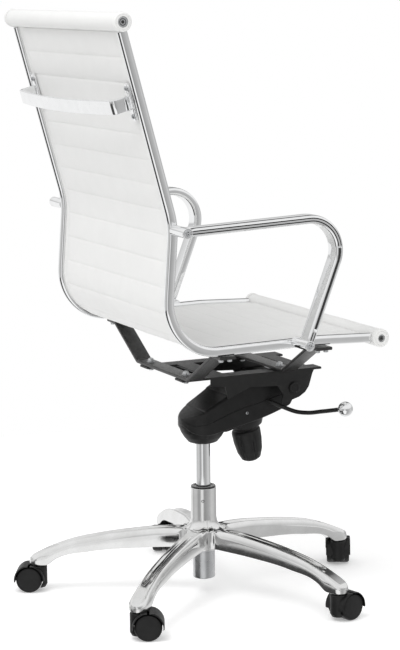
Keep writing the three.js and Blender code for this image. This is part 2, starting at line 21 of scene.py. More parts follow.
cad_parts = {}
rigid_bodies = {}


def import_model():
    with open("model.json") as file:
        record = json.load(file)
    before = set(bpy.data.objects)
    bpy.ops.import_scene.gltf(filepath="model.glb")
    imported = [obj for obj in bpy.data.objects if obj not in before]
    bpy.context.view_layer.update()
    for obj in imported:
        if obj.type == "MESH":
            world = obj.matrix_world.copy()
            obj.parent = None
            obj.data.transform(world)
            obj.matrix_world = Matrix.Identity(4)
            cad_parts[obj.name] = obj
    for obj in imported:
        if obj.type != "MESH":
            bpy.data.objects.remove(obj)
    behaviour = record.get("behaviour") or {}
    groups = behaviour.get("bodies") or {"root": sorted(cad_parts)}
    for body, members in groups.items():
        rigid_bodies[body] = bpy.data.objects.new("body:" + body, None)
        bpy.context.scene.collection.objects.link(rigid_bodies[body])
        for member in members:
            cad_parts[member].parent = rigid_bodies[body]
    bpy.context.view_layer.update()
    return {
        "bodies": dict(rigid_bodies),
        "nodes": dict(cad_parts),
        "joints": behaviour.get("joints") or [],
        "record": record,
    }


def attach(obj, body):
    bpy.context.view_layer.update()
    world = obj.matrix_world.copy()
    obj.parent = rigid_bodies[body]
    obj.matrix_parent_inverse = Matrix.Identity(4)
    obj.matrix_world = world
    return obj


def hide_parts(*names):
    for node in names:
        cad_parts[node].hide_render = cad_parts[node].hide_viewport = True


LOG = logging.getLogger("office_chair")
Array = np.ndarray
MM = 0.001
TAU = 2 * math.pi


# --- Curves and profiles --------------------------------------------------------------------


def unit(vectors: Array) -> Array:
    """Vectors divided by their length."""
    return vectors / np.maximum(np.linalg.norm(vectors, axis=-1, keepdims=True), 1e-12)


def round_corners(corners: Sequence[Sequence[float]], steps: int = 8, closed: bool = False) -> Array:
    """Replaces each corner of a plane polyline by a circular arc that touches both its sides.

    Args:
        corners: rows of (a, b, radius); a radius of 0 keeps the corner.
        steps: arc segments for each corner.
        closed: whether the last point joins the first.

    Returns:
        The rounded line's points, (N, 2).
    """
    table = np.array(corners, float)
    points, radii = table[:, :2], table[:, 2]
    last = len(points)
    out = []
    for i in range(last):
        if radii[i] <= 0 or (not closed and i in (0, last - 1)):
            out.append(points[i : i + 1])
            continue
        back, ahead = unit(points[i - 1] - points[i]), unit(points[(i + 1) % last] - points[i])
        half = math.acos(float(np.clip(back @ ahead, -0.9999, 0.9999))) / 2
        centre = points[i] + unit(back + ahead) * radii[i] / math.sin(half)
        start = points[i] + back * radii[i] / math.tan(half) - centre
        end = points[i] + ahead * radii[i] / math.tan(half) - centre
        turn = math.atan2(start[0] * end[1] - start[1] * end[0], float(start @ end))
        a = np.linspace(0, turn, steps + 1)[:, None]
        across = np.array([-start[1], start[0]])
        out.append(centre + start * np.cos(a) + across * np.sin(a))
    return np.concatenate(out)


def lengths(points: Array) -> Array:
    """Distance along a polyline at each of its points."""
    return np.concatenate([[0.0], np.cumsum(np.linalg.norm(np.diff(points, axis=0), axis=1))])


def resample(points: Array, step: float) -> Array:
    """The polyline's points at even spacing, `step` apart at most."""
    s = lengths(points)
    at = np.linspace(0, s[-1], max(2, int(math.ceil(s[-1] / step)) + 1))
    return np.stack([np.interp(at, s, points[:, k]) for k in range(points.shape[1])], axis=1)


def trimmed(points: Array, head: float, tail: float, step: float) -> Array:
    """The polyline with `head` and `tail` taken off its ends, at even spacing."""
    s = lengths(points)
    at = np.linspace(head, s[-1] - tail, int((s[-1] - head - tail) / step) + 2)
    return np.stack([np.interp(at, s, points[:, k]) for k in range(points.shape[1])], axis=1)


def tangents(points: Array) -> Array:
    """Unit directions along a polyline, averaged over the neighbours of each point."""
    return unit(np.gradient(points, axis=0))


def hermite(knots: Sequence[float], values: Sequence[float], at: Array) -> Array:
    """A smooth curve through knots: cubic pieces whose slopes are the mean of the chords beside them.

    Args:
        knots: rising parameter of each value.
        values: the values to pass through.
        at: parameters to read the curve at.
    """
    x, y = np.array(knots, float), np.array(values, float)
    slope = np.gradient(y, x)
    i = np.clip(np.searchsorted(x, at, side="right") - 1, 0, len(x) - 2)
    h = x[i + 1] - x[i]
    t = np.clip((at - x[i]) / h, 0, 1)
    rise, fall = t * t * (3 - 2 * t), (1 - t) ** 2
    return y[i] * (1 - rise) + y[i + 1] * rise + h * (slope[i] * t * fall - slope[i + 1] * t * t * (1 - t))


def smoothstep(low: float, high: float, at: Array) -> Array:
    """0 below `low`, 1 above `high`, an S curve between them."""
    t = np.clip((at - low) / (high - low), 0, 1)
    return t * t * (3 - 2 * t)


def rounded_box(width: float, height: float, radius: float, steps: int = 5) -> Array:
    """A rectangle's outline with rounded corners, centred, counter-clockwise."""
    w, h = width / 2, height / 2
    return round_corners(
        [(w, -h, radius), (w, h, radius), (-w, h, radius), (-w, -h, radius)], steps, closed=True
    )


def oval(width: float, depth: float, power: float, count: int = 36) -> Array:
    """A superellipse outline: cosine and sine raised to `power`, 1 for an ellipse, less for squarer."""
    a = np.linspace(0, TAU, count, endpoint=False)
    c, s = np.cos(a), np.sin(a)
    return np.stack([np.sign(c) * np.abs(c) ** power * width / 2,
                     np.sign(s) * np.abs(s) ** power * depth / 2], axis=1)


# --- Surfaces -------------------------------------------------------------------------------


class Shell:
    """Grids of points gathered into one mesh."""

    def __init__(self) -> None:
        """Starts with no grid."""
        self.points: list[Array] = []
        self.faces: list[tuple[int, ...]] = []
        self.count = 0

    def grid(self, points: Array, wrap: bool = True, loop: bool = False, caps: bool = True) -> "Shell":
        """Adds a grid as quads.

        Args:
            points: (rows, columns, 3) in millimetres.
            wrap: whether each row closes on itself.
            loop: whether the last row joins the first.
            caps: whether the first and last row are filled.

        Returns:
            The shell itself.
        """
        rows, columns = points.shape[:2]
        index = np.arange(rows * columns).reshape(rows, columns) + self.count
        if wrap:
            index = np.concatenate([index, index[:, :1]], axis=1)
        if loop:
            index = np.concatenate([index, index[:1]], axis=0)
        quads = np.stack([index[:-1, :-1], index[:-1, 1:], index[1:, 1:], index[1:, :-1]], axis=-1)
        self.faces += [tuple(q) for q in quads.reshape(-1, 4).tolist()]
        if caps and not loop:
            self.faces.append(tuple(index[0, :columns][::-1].tolist()))
            self.faces.append(tuple(index[-1, :columns].tolist()))
        self.points.append(points.reshape(-1, 3))
        self.count += rows * columns
        return self

    def moved(self, turn: Array | None = None, shift: Sequence[float] = (0, 0, 0)) -> "Shell":
        """Turns every point by a 3x3 matrix, then shifts it."""
        turn = np.eye(3) if turn is None else turn
        self.points = [p @ turn.T + np.array(shift, float) for p in self.points]
        return self

    def add(self, other: "Shell") -> "Shell":
        """Takes in another shell's grids."""
        self.faces += [tuple(i + self.count for i in f) for f in other.faces]
        self.points += other.points
        self.count += other.count
        return self

    def mirrored(self) -> "Shell":
        """A copy on the other side of the chair, with its faces turned to match."""
        copy = Shell()
        copy.points = [p * np.array([-1.0, 1.0, 1.0]) for p in self.points]
        copy.faces = [f[::-1] for f in self.faces]
        copy.count = self.count
        return copy

    def build(self, name: str, material: bpy.types.Material, sharp: float = 38.0) -> bpy.types.Object:
        """Makes the object: doubles merged, faces outward, smooth between sharp edges."""
        mesh = bpy.data.meshes.new(name)
        mesh.from_pydata((np.concatenate(self.points) * MM).tolist(), [], self.faces)
        return finished(mesh, name, material, sharp)


def finished(
    mesh: bpy.types.Mesh, name: str, material: bpy.types.Material, sharp: float
) -> bpy.types.Object:
    """Cleans a mesh and links its object.

    Args:
        mesh: the mesh, in metres.
        name: the piece's name.
        material: its finish.
        sharp: angle in degrees over which an edge stays sharp.

    Returns:
        The new object, at the origin.
    """
    work = bmesh.new()
    work.from_mesh(mesh)
    bmesh.ops.remove_doubles(work, verts=work.verts, dist=1e-6)
    bmesh.ops.dissolve_degenerate(work, edges=work.edges, dist=1e-7)
    bmesh.ops.recalc_face_normals(work, faces=work.faces)
    work.to_mesh(mesh)
    work.free()
    mesh.materials.clear()
    mesh.materials.append(material)
    mesh.shade_smooth()
    mesh.set_sharp_from_angle(angle=math.radians(sharp))
    obj = bpy.data.objects.new(name, mesh)
    bpy.context.scene.collection.objects.link(obj)
    return obj


def axes_for(axis: Sequence[float]) -> Array:
    """A 3x3 turn that takes +Z to `axis`."""
    return np.array(Vector((0, 0, 1)).rotation_difference(Vector(axis)).to_matrix())


def turned(
    profile: Sequence[Sequence[float]],
    at: Sequence[float] = (0, 0, 0),
    axis: Sequence[float] = (0, 0, 1),
    segments: int = 48,
    ripple: Callable[[Array, Array], Array] | None = None,
    steps: int = 4,
) -> Shell:
    """A surface of revolution: each (radius, height) point of the profile is carried round the axis.

    Args:
        profile: rows of (radius, height, corner radius), from one end of the axis to the other.
        at: where height 0 stands.
        axis: direction of the axis.
        segments: points round the axis.
        ripple: factor on the radius as a function of the height and the angle.
        steps: arc segments for each rounded corner.

    Returns:
        The surface.
    """
    line = round_corners([(*p, 0)[:3] for p in profile], steps)
    angle = np.linspace(0, TAU, segments, endpoint=False)[None, :]
    radius, height = line[:, :1], line[:, 1:2]
    if ripple is not None:
        radius = radius * ripple(height, angle)
    points = np.stack([radius * np.cos(angle), radius * np.sin(angle),
                       height + 0 * angle], axis=-1)
    closed_ring = profile[0][0] > 0 and profile[-1][0] > 0
    return Shell().grid(points, loop=closed_ring, caps=False).moved(axes_for(axis), at)


def carried(path: Array, section: Array, side: Array, up: Array) -> Array:
    """A section carried along a path: point = path + section_a x side + section_b x up.

    Args:
        path: (N, 3) points.
        section: (M, 2) or (N, M, 2) offsets.
        side: (3,) or (N, 3) direction of the first offset.
        up: (N, 3) direction of the second offset.
    """
    section = np.broadcast_to(section, (len(path), *section.shape[-2:]))
    side = np.broadcast_to(side, (len(path), 3))
    return (path[:, None] + section[..., :1] * side[:, None] + section[..., 1:] * up[:, None])


def along_side(line: Array, x: float, section: Array) -> Array:
    """A section carried along a (y, z) line in the plane at `x`: offsets go along X and the normal."""
    path = np.column_stack([np.full(len(line), x), line])
    t = tangents(line)
    normal = np.column_stack([np.zeros(len(line)), -t[:, 1], t[:, 0]])
    return carried(path, section, np.array([1.0, 0, 0]), normal)


# --- Finishes -------------------------------------------------------------------------------


class Grain(Enum):
    """The small relief of a finish."""

    POLISH = "polish"
    LEATHER = "leather"
    MOULDED = "moulded"
    POWDER = "powder"


@dataclass(frozen=True)
class Finish:
    """One surface finish, with its colour variation, roughness variation and relief."""

    name: str
    slot: str
    color: tuple[float, float, float]
    shade: tuple[float, float, float]
    roughness: tuple[float, float]
    metallic: float
    grain: Grain
    scale: float
    relief: float
    coat: float = 0.0
    sheen: float = 0.0
    specular: float = 0.5

    def material(self) -> bpy.types.Material:
        """Builds the node tree: noise for colour and roughness, a grain pattern for the relief."""
        mat = bpy.data.materials.new(self.name)
        mat.use_nodes = True
        tree = mat.node_tree
        nodes, link = tree.nodes, tree.links.new
        shader = nodes["Principled BSDF"]
        shader.inputs["Metallic"].default_value = self.metallic
        shader.inputs["Coat Weight"].default_value = self.coat
        shader.inputs["Coat Roughness"].default_value = 0.12
        shader.inputs["Sheen Weight"].default_value = self.sheen
        shader.inputs["Specular IOR Level"].default_value = self.specular
        place = nodes.new("ShaderNodeTexCoord")

        def noise(scale: float, detail: float, roughness: float = 0.55) -> bpy.types.Node:
            """A noise pattern on the piece's own coordinates."""
            node = nodes.new("ShaderNodeTexNoise")
            node.inputs["Scale"].default_value = scale
            node.inputs["Detail"].default_value = detail
            node.inputs["Roughness"].default_value = roughness
            link(place.outputs["Object"], node.inputs["Vector"])
            return node

        cloud = noise(self.scale * 0.04, 4)
        ramp = nodes.new("ShaderNodeValToRGB")
        ramp.color_ramp.elements[0].position, ramp.color_ramp.elements[1].position = 0.34, 0.66
        ramp.color_ramp.elements[0].color = (*self.shade, 1)
        ramp.color_ramp.elements[1].color = (*self.color, 1)
        link(cloud.outputs["Fac"], ramp.inputs["Fac"])
        link(ramp.outputs["Color"], shader.inputs["Base Color"])
        smudge = noise(self.scale * 0.11, 6, 0.65)
        spread = nodes.new("ShaderNodeMapRange")
        spread.inputs["From Min"].default_value, spread.inputs["From Max"].default_value = 0.3, 0.7
        spread.inputs["To Min"].default_value, spread.inputs["To Max"].default_value = self.roughness
        link(smudge.outputs["Fac"], spread.inputs["Value"])
        link(spread.outputs["Result"], shader.inputs["Roughness"])
        bump = nodes.new("ShaderNodeBump")
        bump.inputs["Strength"].default_value = self.relief
        bump.inputs["Distance"].default_value = 0.0004
        link(self.height(nodes, link, place, noise), bump.inputs["Height"])
        link(bump.outputs["Normal"], shader.inputs["Normal"])
        return mat

    def height(self, nodes: bpy.types.Nodes, link: Callable, place: bpy.types.Node,
               noise: Callable) -> bpy.types.NodeSocket:
        """The grain's height pattern.

        Args:
            nodes: the tree's nodes.
            link: the tree's link function.
            place: the texture coordinate node.
            noise: makes a noise node of a scale and detail.

        Returns:
            The socket that holds the height.
        """
        fine = noise(self.scale, 3)
        if self.grain is not Grain.LEATHER:
            return fine.outputs["Fac"]
        cells = nodes.new("ShaderNodeTexVoronoi")
        cells.feature = "DISTANCE_TO_EDGE"
        cells.inputs["Scale"].default_value = self.scale
        link(place.outputs["Object"], cells.inputs["Vector"])
        edge = nodes.new("ShaderNodeMapRange")
        edge.inputs["From Max"].default_value = 0.12
        link(cells.outputs["Distance"], edge.inputs["Value"])
        both = nodes.new("ShaderNodeMath")
        both.operation = "MULTIPLY_ADD"
        both.inputs[1].default_value = 0.6
        link(fine.outputs["Fac"], both.inputs[0])
        link(edge.outputs["Result"], both.inputs[2])
        return both.outputs["Value"]


CHROME = Finish("bright_chrome", "chrome", (0.93, 0.935, 0.94), (0.89, 0.895, 0.90),
                (0.035, 0.075), 1, Grain.POLISH, 900, 0.01)
ALUMINIUM = Finish("polished_aluminium", "aluminium", (0.86, 0.862, 0.86), (0.79, 0.79, 0.785),
                   (0.07, 0.15), 1, Grain.POLISH, 700, 0.02)
STEEL = Finish("satin_steel", "steel", (0.66, 0.67, 0.68), (0.55, 0.56, 0.57),
               (0.24, 0.36), 1, Grain.POLISH, 1100, 0.06)
LEATHER = Finish("white_leather", "leather", (0.79, 0.79, 0.782), (0.775, 0.775, 0.767),
                 (0.44, 0.54), 0, Grain.LEATHER, 760, 0.09, sheen=0.04, specular=0.4)
WHITE_TRIM = Finish("white_moulding", "white_plastic", (0.80, 0.80, 0.79), (0.77, 0.77, 0.76),
                    (0.25, 0.36), 0, Grain.MOULDED, 900, 0.05)
THREAD = Finish("white_thread", "leather", (0.74, 0.74, 0.73), (0.66, 0.66, 0.65),
                (0.6, 0.75), 0, Grain.POWDER, 2600, 0.3, sheen=0.2)
BLACK_PLASTIC = Finish("black_moulding", "black_plastic", (0.010, 0.010, 0.010), (0.007, 0.007, 0.007),
                       (0.36, 0.48), 0, Grain.MOULDED, 1500, 0.14, specular=0.32)
GLOSS_BLACK = Finish("gloss_black_bush", "black_plastic", (0.016, 0.016, 0.016), (0.011, 0.011, 0.011),
                     (0.12, 0.2), 0, Grain.MOULDED, 900, 0.04, coat=0.4)
TREAD = Finish("black_wheel", "black_plastic", (0.011, 0.011, 0.011), (0.008, 0.008, 0.008),
               (0.40, 0.54), 0, Grain.MOULDED, 1300, 0.14, specular=0.32)
POWDER_COAT = Finish("black_powder_coat", "black_steel", (0.013, 0.013, 0.0125), (0.009, 0.009, 0.009),
                     (0.36, 0.46), 0, Grain.POWDER, 1900, 0.18, specular=0.35)
BRACE_COAT = Finish("grey_powder_coat", "black_steel", (0.024, 0.0235, 0.023), (0.015, 0.0145, 0.014),
                    (0.27, 0.38), 0, Grain.POWDER, 1900, 0.2, specular=0.55)


@dataclass
class Workshop:
    """Holds the made materials and puts finished pieces on their bodies."""

    materials: dict[str, bpy.types.Material] = field(default_factory=dict)

    def finish(self, finish: Finish) -> bpy.types.Material:
        """The material of a finish, built once."""
        if finish.name not in self.materials:
            self.materials[finish.name] = finish.material()
        return self.materials[finish.name]

    def place(self, shell: Shell, name: str, body: str, finish: Finish, *nodes: str,
              sharp: float = 38.0) -> bpy.types.Object:
        """Builds a piece and sets it on its body.

        Args:
            shell: its surface.
            name: the piece's name.
            body: the frame's body it rides on.
            finish: its finish.
            nodes: the frame's nodes it stands for.
            sharp: angle in degrees over which an edge stays sharp.

        Returns:
            The piece.
        """
        return self.dress(shell.build(name, self.finish(finish), sharp), body, finish, *nodes)

    def dress(self, obj: bpy.types.Object, body: str, finish: Finish, *nodes: str) -> bpy.types.Object:
        """Rides an object on its body and the nodes it replaces."""
        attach(obj, body)
        if nodes:
            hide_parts(*nodes)
        LOG.info("%-24s rides %-10s %6d faces", obj.name, body, len(obj.data.polygons))
        return obj

    def eased(self, frame: dict, node: str, name: str, body: str, finish: Finish,
              width: float) -> bpy.types.Object:
        """A copy of a frame node with its corners merged and its edges bevelled by `width` mm."""
        mesh = frame["nodes"][node].data.copy()
        mesh.name = name
        obj = finished(mesh, name, self.finish(finish), 30)
        work = bmesh.new()
        work.from_mesh(mesh)
        bmesh.ops.dissolve_limit(work, angle_limit=math.radians(1), verts=work.verts, edges=work.edges)
        work.to_mesh(mesh)
        work.free()
        bevel = obj.modifiers.new("eased_edges", "BEVEL")
        bevel.width, bevel.segments, bevel.limit_method = width * MM, 2, "ANGLE"
        bevel.angle_limit = math.radians(32)
        bevel.harden_normals = False
        return self.dress(obj, body, finish, node)


# --- Small hardware -------------------------------------------------------------------------


def socket_screw(at: Sequence[float], axis: Sequence[float], radius: float, height: float,
                 dome: float = 0.0) -> Shell:
    """A round screw head with a hexagonal socket.

    The head is a surface of revolution, and the socket's radius follows a hexagon: its mid-side
    distance divided by the cosine of the angle from the nearest side's middle.
    """
    hexagon = radius * 0.46
    depth = height * 0.6

    def ripple(h: Array, angle: Array) -> Array:
        """Hexagon inside the socket, 1 elsewhere."""
        side = np.cos((angle + TAU / 12) % (TAU / 6) - TAU / 12)
        inside = (np.arange(len(h))[:, None] >= len(h) - 4)
        return np.where(inside, 1 / side, 1.0)

    profile = [(0, 0), (radius, 0), (radius, height - 0.6), (radius - 0.7, height),
               (radius * 0.62, height + dome), (hexagon * 1.18, height + dome),
               (hexagon, height + dome - 0.3), (hexagon, height - depth),
               (hexagon * 0.5, height - depth - 0.2), (0, height - depth - 0.3)]
    return turned(profile, at, axis, 24, ripple)


def hex_head(at: Sequence[float], axis: Sequence[float], across: float, height: float) -> Shell:
    """A hexagonal head on a washer, its corners cut by a cone."""

    def ripple(h: Array, angle: Array) -> Array:
        """Hexagon above the washer."""
        side = np.cos((angle + TAU / 12) % (TAU / 6) - TAU / 12)
        return np.where(h > 1.05, np.minimum(1 / side, 1.1), 1.0)

    r = across / 2
    return turned([(0, 0), (r * 1.45, 0), (r * 1.45, 1), (r, 1), (r, 1.1), (r, height - 0.5),
                   (r * 0.86, height), (0, height)], at, axis, 36, ripple)


def nut_dome(at: Sequence[float], axis: Sequence[float], radius: float) -> Shell:
    """A dome nut: a short collar under a half sphere."""
    a = np.linspace(0, math.pi / 2, 8)
    dome = [(radius * math.cos(t), 3 + radius * 0.9 * math.sin(t)) for t in a]
    return turned([(0, 0), (radius * 1.3, 0), (radius * 1.3, 1.2), (radius, 1.6), *dome], at, axis, 24)


# --- Base -----------------------------------------------------------------------------------


@dataclass
class StarBase:
    """Five polished legs, hub and collar, the column tube and its bush."""

    shop: Workshop
    legs: int = 5
    first_leg: float = 60.75
    reach: float = 319.0
    half_width: float = 17.6
    collar_radius: float = 24.5
    fillet: float = 17.0
    top: tuple = ((8, 123), (46, 127), (80, 127), (130, 122.5), (200, 112.8), (255, 101), (305, 82),
                  (326, 71.5), (336.4, 66))
    under: tuple = ((8, 92), (124, 89), (218, 81), (285, 65), (301, 54), (310, 53), (336.4, 53))
    screw_height: float = 182.0
    sweep: float = 40.0
    sweep_height: float = 24.0

    def leg_angle(self, k: int) -> float:
        """Direction of a leg in radians."""
        return math.radians(self.first_leg + 360 / self.legs * k)

    def plan(self) -> tuple[Array, Array]:
        """Centre distance and side point of each station from the collar out to the tip.

        Near the hub the side runs along the bisector between two legs, then on an arc that touches
        the bisector's normal and the leg's straight side, so that neighbouring legs meet in a fillet.
        Further out it is the half width, slightly waisted, and a circle round the boss at the tip.

        Returns:
            The centre distances (N,) and the side points (N, 2).
        """
        half, w, f = math.pi / self.legs, self.half_width, self.fillet
        bisector = np.array([math.cos(half), math.sin(half)])
        centre = bisector * (w + f) / math.sin(half)
        inner = np.linspace(20, float(np.linalg.norm(centre)) - f, 12)[:-1, None] * bisector
        a = np.linspace(math.pi + half, 1.5 * math.pi, 20)[:, None]
        arc = centre + f * np.hstack([np.cos(a), np.sin(a)])
        near = np.concatenate([inner, arc])
        gate = float(arc[-1, 0])
        tip = 319 + 17.4 * np.sin(np.linspace(-1.0, 1.5708, 24))
        r = np.concatenate([np.linspace(gate + 2.5, 300, 72), tip])
        r = np.sort(np.unique(r))
        past = np.clip(r - self.reach, 0, None)
        width = np.sqrt(np.clip(w**2 - past**2, 0.02, None))
        width = width - 1.2 * smoothstep(60, 140, r) * (1 - smoothstep(230, 300, r))
        axis = np.concatenate([20 + (gate - 20) * np.linspace(0, 1, len(near)), r])
        return axis, np.concatenate([near, np.column_stack([r, width])])

    def leg(self) -> Shell:
        """One leg along +X.

        Each station's section is a closed smooth spline through points set by the leg's top height,
        its underside height and its side point: two ridges beside a valley on top, sides that fall to
        the underside, and a hollow below. A share f of the way to the side stands at
        x = axis + (side_x - axis) f^2 and y = side_y f. The top sweeps up to the collar as a quarter
        ellipse.
        """
        r, side = self.plan()
        top = hermite(*zip(*self.top), r)
        under = hermite(*zip(*self.under), r)
        height = top - under
        valley = 5.6 * smoothstep(26, 66, r) * (1 - smoothstep(262, 302, r))
        hollow = 0.62 * height * smoothstep(48, 62, r) * (1 - smoothstep(262, 288, r))
        brow = 2.6 + 1.6 * (1 - smoothstep(296, 316, r))
        brow = brow * smoothstep(0.0, 1.0, (r - 34) / 22)
        wall = smoothstep(10, 15, np.arange(len(r)))
        rows = [
            (0.00, top - valley), (0.16, top - valley * 0.95), (0.31, top - valley * 0.7),
            (0.45, top - valley * 0.33), (0.58, top - valley * 0.06), (0.7, top - 0.2 * brow),
            (0.84, top - brow), (0.97, top - 2.7 * brow), (1.0, top - (top - under - 0.52 * height) * wall),
            (1.0 - 0.015 * wall, under + 0.2 * height), (0.95, under + 1.0),
            (0.90, under), (0.78, under), (0.73, under + 0.5 * hollow), (0.62, under + 0.95 * hollow),
            (0.3, under + hollow),
        ]
        share = np.stack([f + 0 * r for f, _ in rows], axis=1)
        level = np.stack([np.maximum(z, under) for _, z in rows], axis=1)
        share = np.concatenate([share, -share[:, :0:-1]], axis=1)
        level = np.concatenate([level, level[:, :0:-1]], axis=1)
        f, z = self.spline(share), self.spline(level)
        x = r[:, None] + (side[:, :1] - r[:, None]) * f**2
        y = side[:, 1:] * f
        out = np.hypot(x, y)
        rise = np.clip((self.sweep - out) / (self.sweep - self.collar_radius + 0.4), 0, 1)
        upper = smoothstep(0.35, 0.75, (z - under[:, None]) / height[:, None])
        z = z + self.sweep_height * (1 - np.sqrt(1 - rise**2)) * upper
        tip = smoothstep(self.reach + 10, self.reach + 17.4, r)[:, None]
        z = z - tip * 2.2 * (z > (top + under)[:, None] / 2)
        return Shell().grid(np.stack([x, y, z], axis=-1))

    @staticmethod
    def spline(control: Array, per_span: int = 4) -> Array:
        """A closed uniform cubic spline through each row: Catmull-Rom weights on four neighbours."""
        t = np.arange(per_span)[:, None] / per_span
        weights = np.concatenate([-t + 2 * t**2 - t**3, 2 - 5 * t**2 + 3 * t**3,
                                  t + 4 * t**2 - 3 * t**3, -t**2 + t**3], axis=1) / 2
        near = np.stack([np.roll(control, 1 - k, axis=1) for k in range(4)], axis=-1)
        return np.einsum("rck,sk->rcs", near, weights).reshape(len(control), -1)

    def build(self) -> None:
        """Makes the base's pieces."""
        shop = self.shop
        legs = Shell()
        for k in range(self.legs):
            a = self.leg_angle(k)
            spin = np.array([[math.cos(a), -math.sin(a), 0], [math.sin(a), math.cos(a), 0], [0, 0, 1]])
            legs.add(self.leg().moved(spin))
        shop.place(legs, "base_legs", "base", ALUMINIUM, "star_base", sharp=50)
        c = self.collar_radius
        hub = turned([
            (21.4, 84, 0), (27, 84, 1.5), (28.5, 93, 1), (c, 112, 2), (c, 205, 1), (21.4, 205, 0.6),
        ], segments=72, steps=6)
        shop.place(hub, "base_hub", "base", ALUMINIUM, sharp=50)
        tube = turned([(6.2, 28.5, 0.6), (21, 28.5, 1), (21, 200, 0.5), (18.2, 200, 0.5), (18.2, 32, 0.5),
                       (6.2, 32, 0.4)], segments=56)
        shop.place(tube, "column_tube_outer", "base", STEEL, "column_tube")
        bush = turned([(14.4, 178), (17.7, 178), (17.7, 200.3), (20.9, 200.3), (20.9, 205.2),
                       (23.8, 205.2, 0.5), (23.5, 208.2, 1.2), (18.5, 208.2, 0.6), (17.6, 206.8, 0.5),
                       (14.4, 206.8, 0.4)], segments=64)
        shop.place(bush, "column_bush", "base", GLOSS_BLACK, "guide_bush")
        a = self.leg_angle(0) + math.radians(91)
        out = (math.cos(a), math.sin(a), 0)
        at = (out[0] * (c - 3), out[1] * (c - 3), self.screw_height)
        screw = socket_screw(at, out, 3.1, 3.2)
        shop.place(screw, "collar_grub_screw", "base", POWDER_COAT, "collar_set_screw")


@dataclass
class Casters:
    """Five twin-wheel casters, each at its own trailing angle."""

    shop: Workshop
    base: StarBase
    trail: float = 17.0
    wheel: float = 25.0
    hood_radius: float = 29.0
    hood_top: float = 50.6
    angles: tuple = (62, 245, 284, 332, 148)

    def hood(self) -> Shell:
        """The hood, trailing towards +X.

        Three surfaces: a fender, a rounded strip section carried on a circle round the axle; a web
        between the wheels, a disc of the same circle; and the stem block, a cylinder whose every
        level is cut off where the wheels' own circle begins.
        """
        strip = round_corners([
            (-24.4, 26.9, 0.3), (24.4, 26.9, 0.3), (24.4, 27.6, 0.5), (21.5, 29, 3.2),
            (-21.5, 29, 3.2), (-24.4, 27.6, 0.5),
        ], 4, closed=True)
        angle = np.radians(np.linspace(-7, 187, 60))
        ring = np.stack([
            self.trail + strip[None, :, 1] * np.cos(angle)[:, None],
            np.broadcast_to(strip[None, :, 0], (len(angle), len(strip))),
            self.wheel + strip[None, :, 1] * np.sin(angle)[:, None],
        ], axis=-1)
        ring[..., 2] = np.minimum(ring[..., 2], self.hood_top + 1.2)
        shell = Shell().grid(ring)
        around = np.linspace(0, TAU, 72, endpoint=False)[None, :]
        rim = 23 + 4 * smoothstep(-0.16, 0.12, np.sin(around))
        across = np.array([-3.3, -3.3, -2.7, 2.7, 3.3, 3.3])[:, None]
        share = np.array([0.02, 0.97, 1.0, 1.0, 0.97, 0.02])[:, None]
        shell.grid(np.stack([self.trail + share * rim * np.cos(around), across + 0 * around,
                             self.wheel + share * rim * np.sin(around)], axis=-1))
        z = np.concatenate([np.linspace(8, 47, 26), 47 + 3.6 * np.sin(np.linspace(0.1, 1.57, 8))])
        inset = 3.6 * (1 - np.sqrt(np.clip(1 - ((z - 47) / 3.6) ** 2, 0, 1))) * (z > 47)
        inset = inset + 3 * (1 - smoothstep(8, 14, z))
        a = np.linspace(0, TAU, 48, endpoint=False)
        limit = self.trail - np.sqrt(np.clip(26.6**2 - (z - self.wheel) ** 2, 0, None))
        radius = (16.2 - inset)[:, None]
        x = np.minimum(radius * np.cos(a), limit[:, None])
        block = np.stack([x, radius * np.sin(a), np.broadcast_to(z[:, None], x.shape)], axis=-1)
        return shell.grid(block)

    def stem(self) -> Shell:
        """The stem with its collar, turned."""
        return turned([(0, 46), (5.5, 46), (5.5, 50.4), (9.6, 50.6, 0.4), (9.6, 53, 0.5), (7.5, 53.2),
                       (5.5, 53.4), (5.5, 65.4), (0, 65.4)], segments=28)

    def wheel_shell(self, side: int) -> Shell:
        """One wheel: a tread with rounded shoulders, a raised rim and a slightly domed disc."""
        r = self.wheel
        profile = [(2.9, 4.0), (21, 4.0), (r, 4.6, 1), (r, 18.5, 2.5), (23.4, 21.6, 1.4), (22.3, 22.4, 0.3),
                   (21.6, 21.7, 0.3), (20.6, 22.2, 0.5), (10, 22.9, 8), (0, 23.0)]
        return turned(profile, (self.trail, 0, r), (0, side, 0), 64)

    def build(self) -> None:
        """Places stem, hood and wheels at the end of each leg."""
        for k, degrees in enumerate(self.angles):
            leg = self.base.leg_angle(k)
            a = math.radians(degrees)
            spin = np.array([[math.cos(a), -math.sin(a), 0], [math.sin(a), math.cos(a), 0], [0, 0, 1]])
            at = (self.base.reach * math.cos(leg), self.base.reach * math.sin(leg), 0)
            n = k + 1
            body = f"caster_{n}"
            self.shop.place(self.hood().moved(spin, at), f"caster_{n}_cover", body, BLACK_PLASTIC,
                            f"caster_{n}_hood")
            self.shop.place(self.stem().moved(spin, at), f"caster_{n}_neck", body, STEEL,
                            f"caster_{n}_stem")
            for letter, side in (("a", 1), ("b", -1)):
                self.shop.place(self.wheel_shell(side).moved(spin, at), f"caster_{n}_tyre_{letter}",
                                f"wheel_{n}{letter}", TREAD, f"caster_{n}_wheel_{letter}")


# --- Gas lift and mechanism -----------------------------------------------------------------


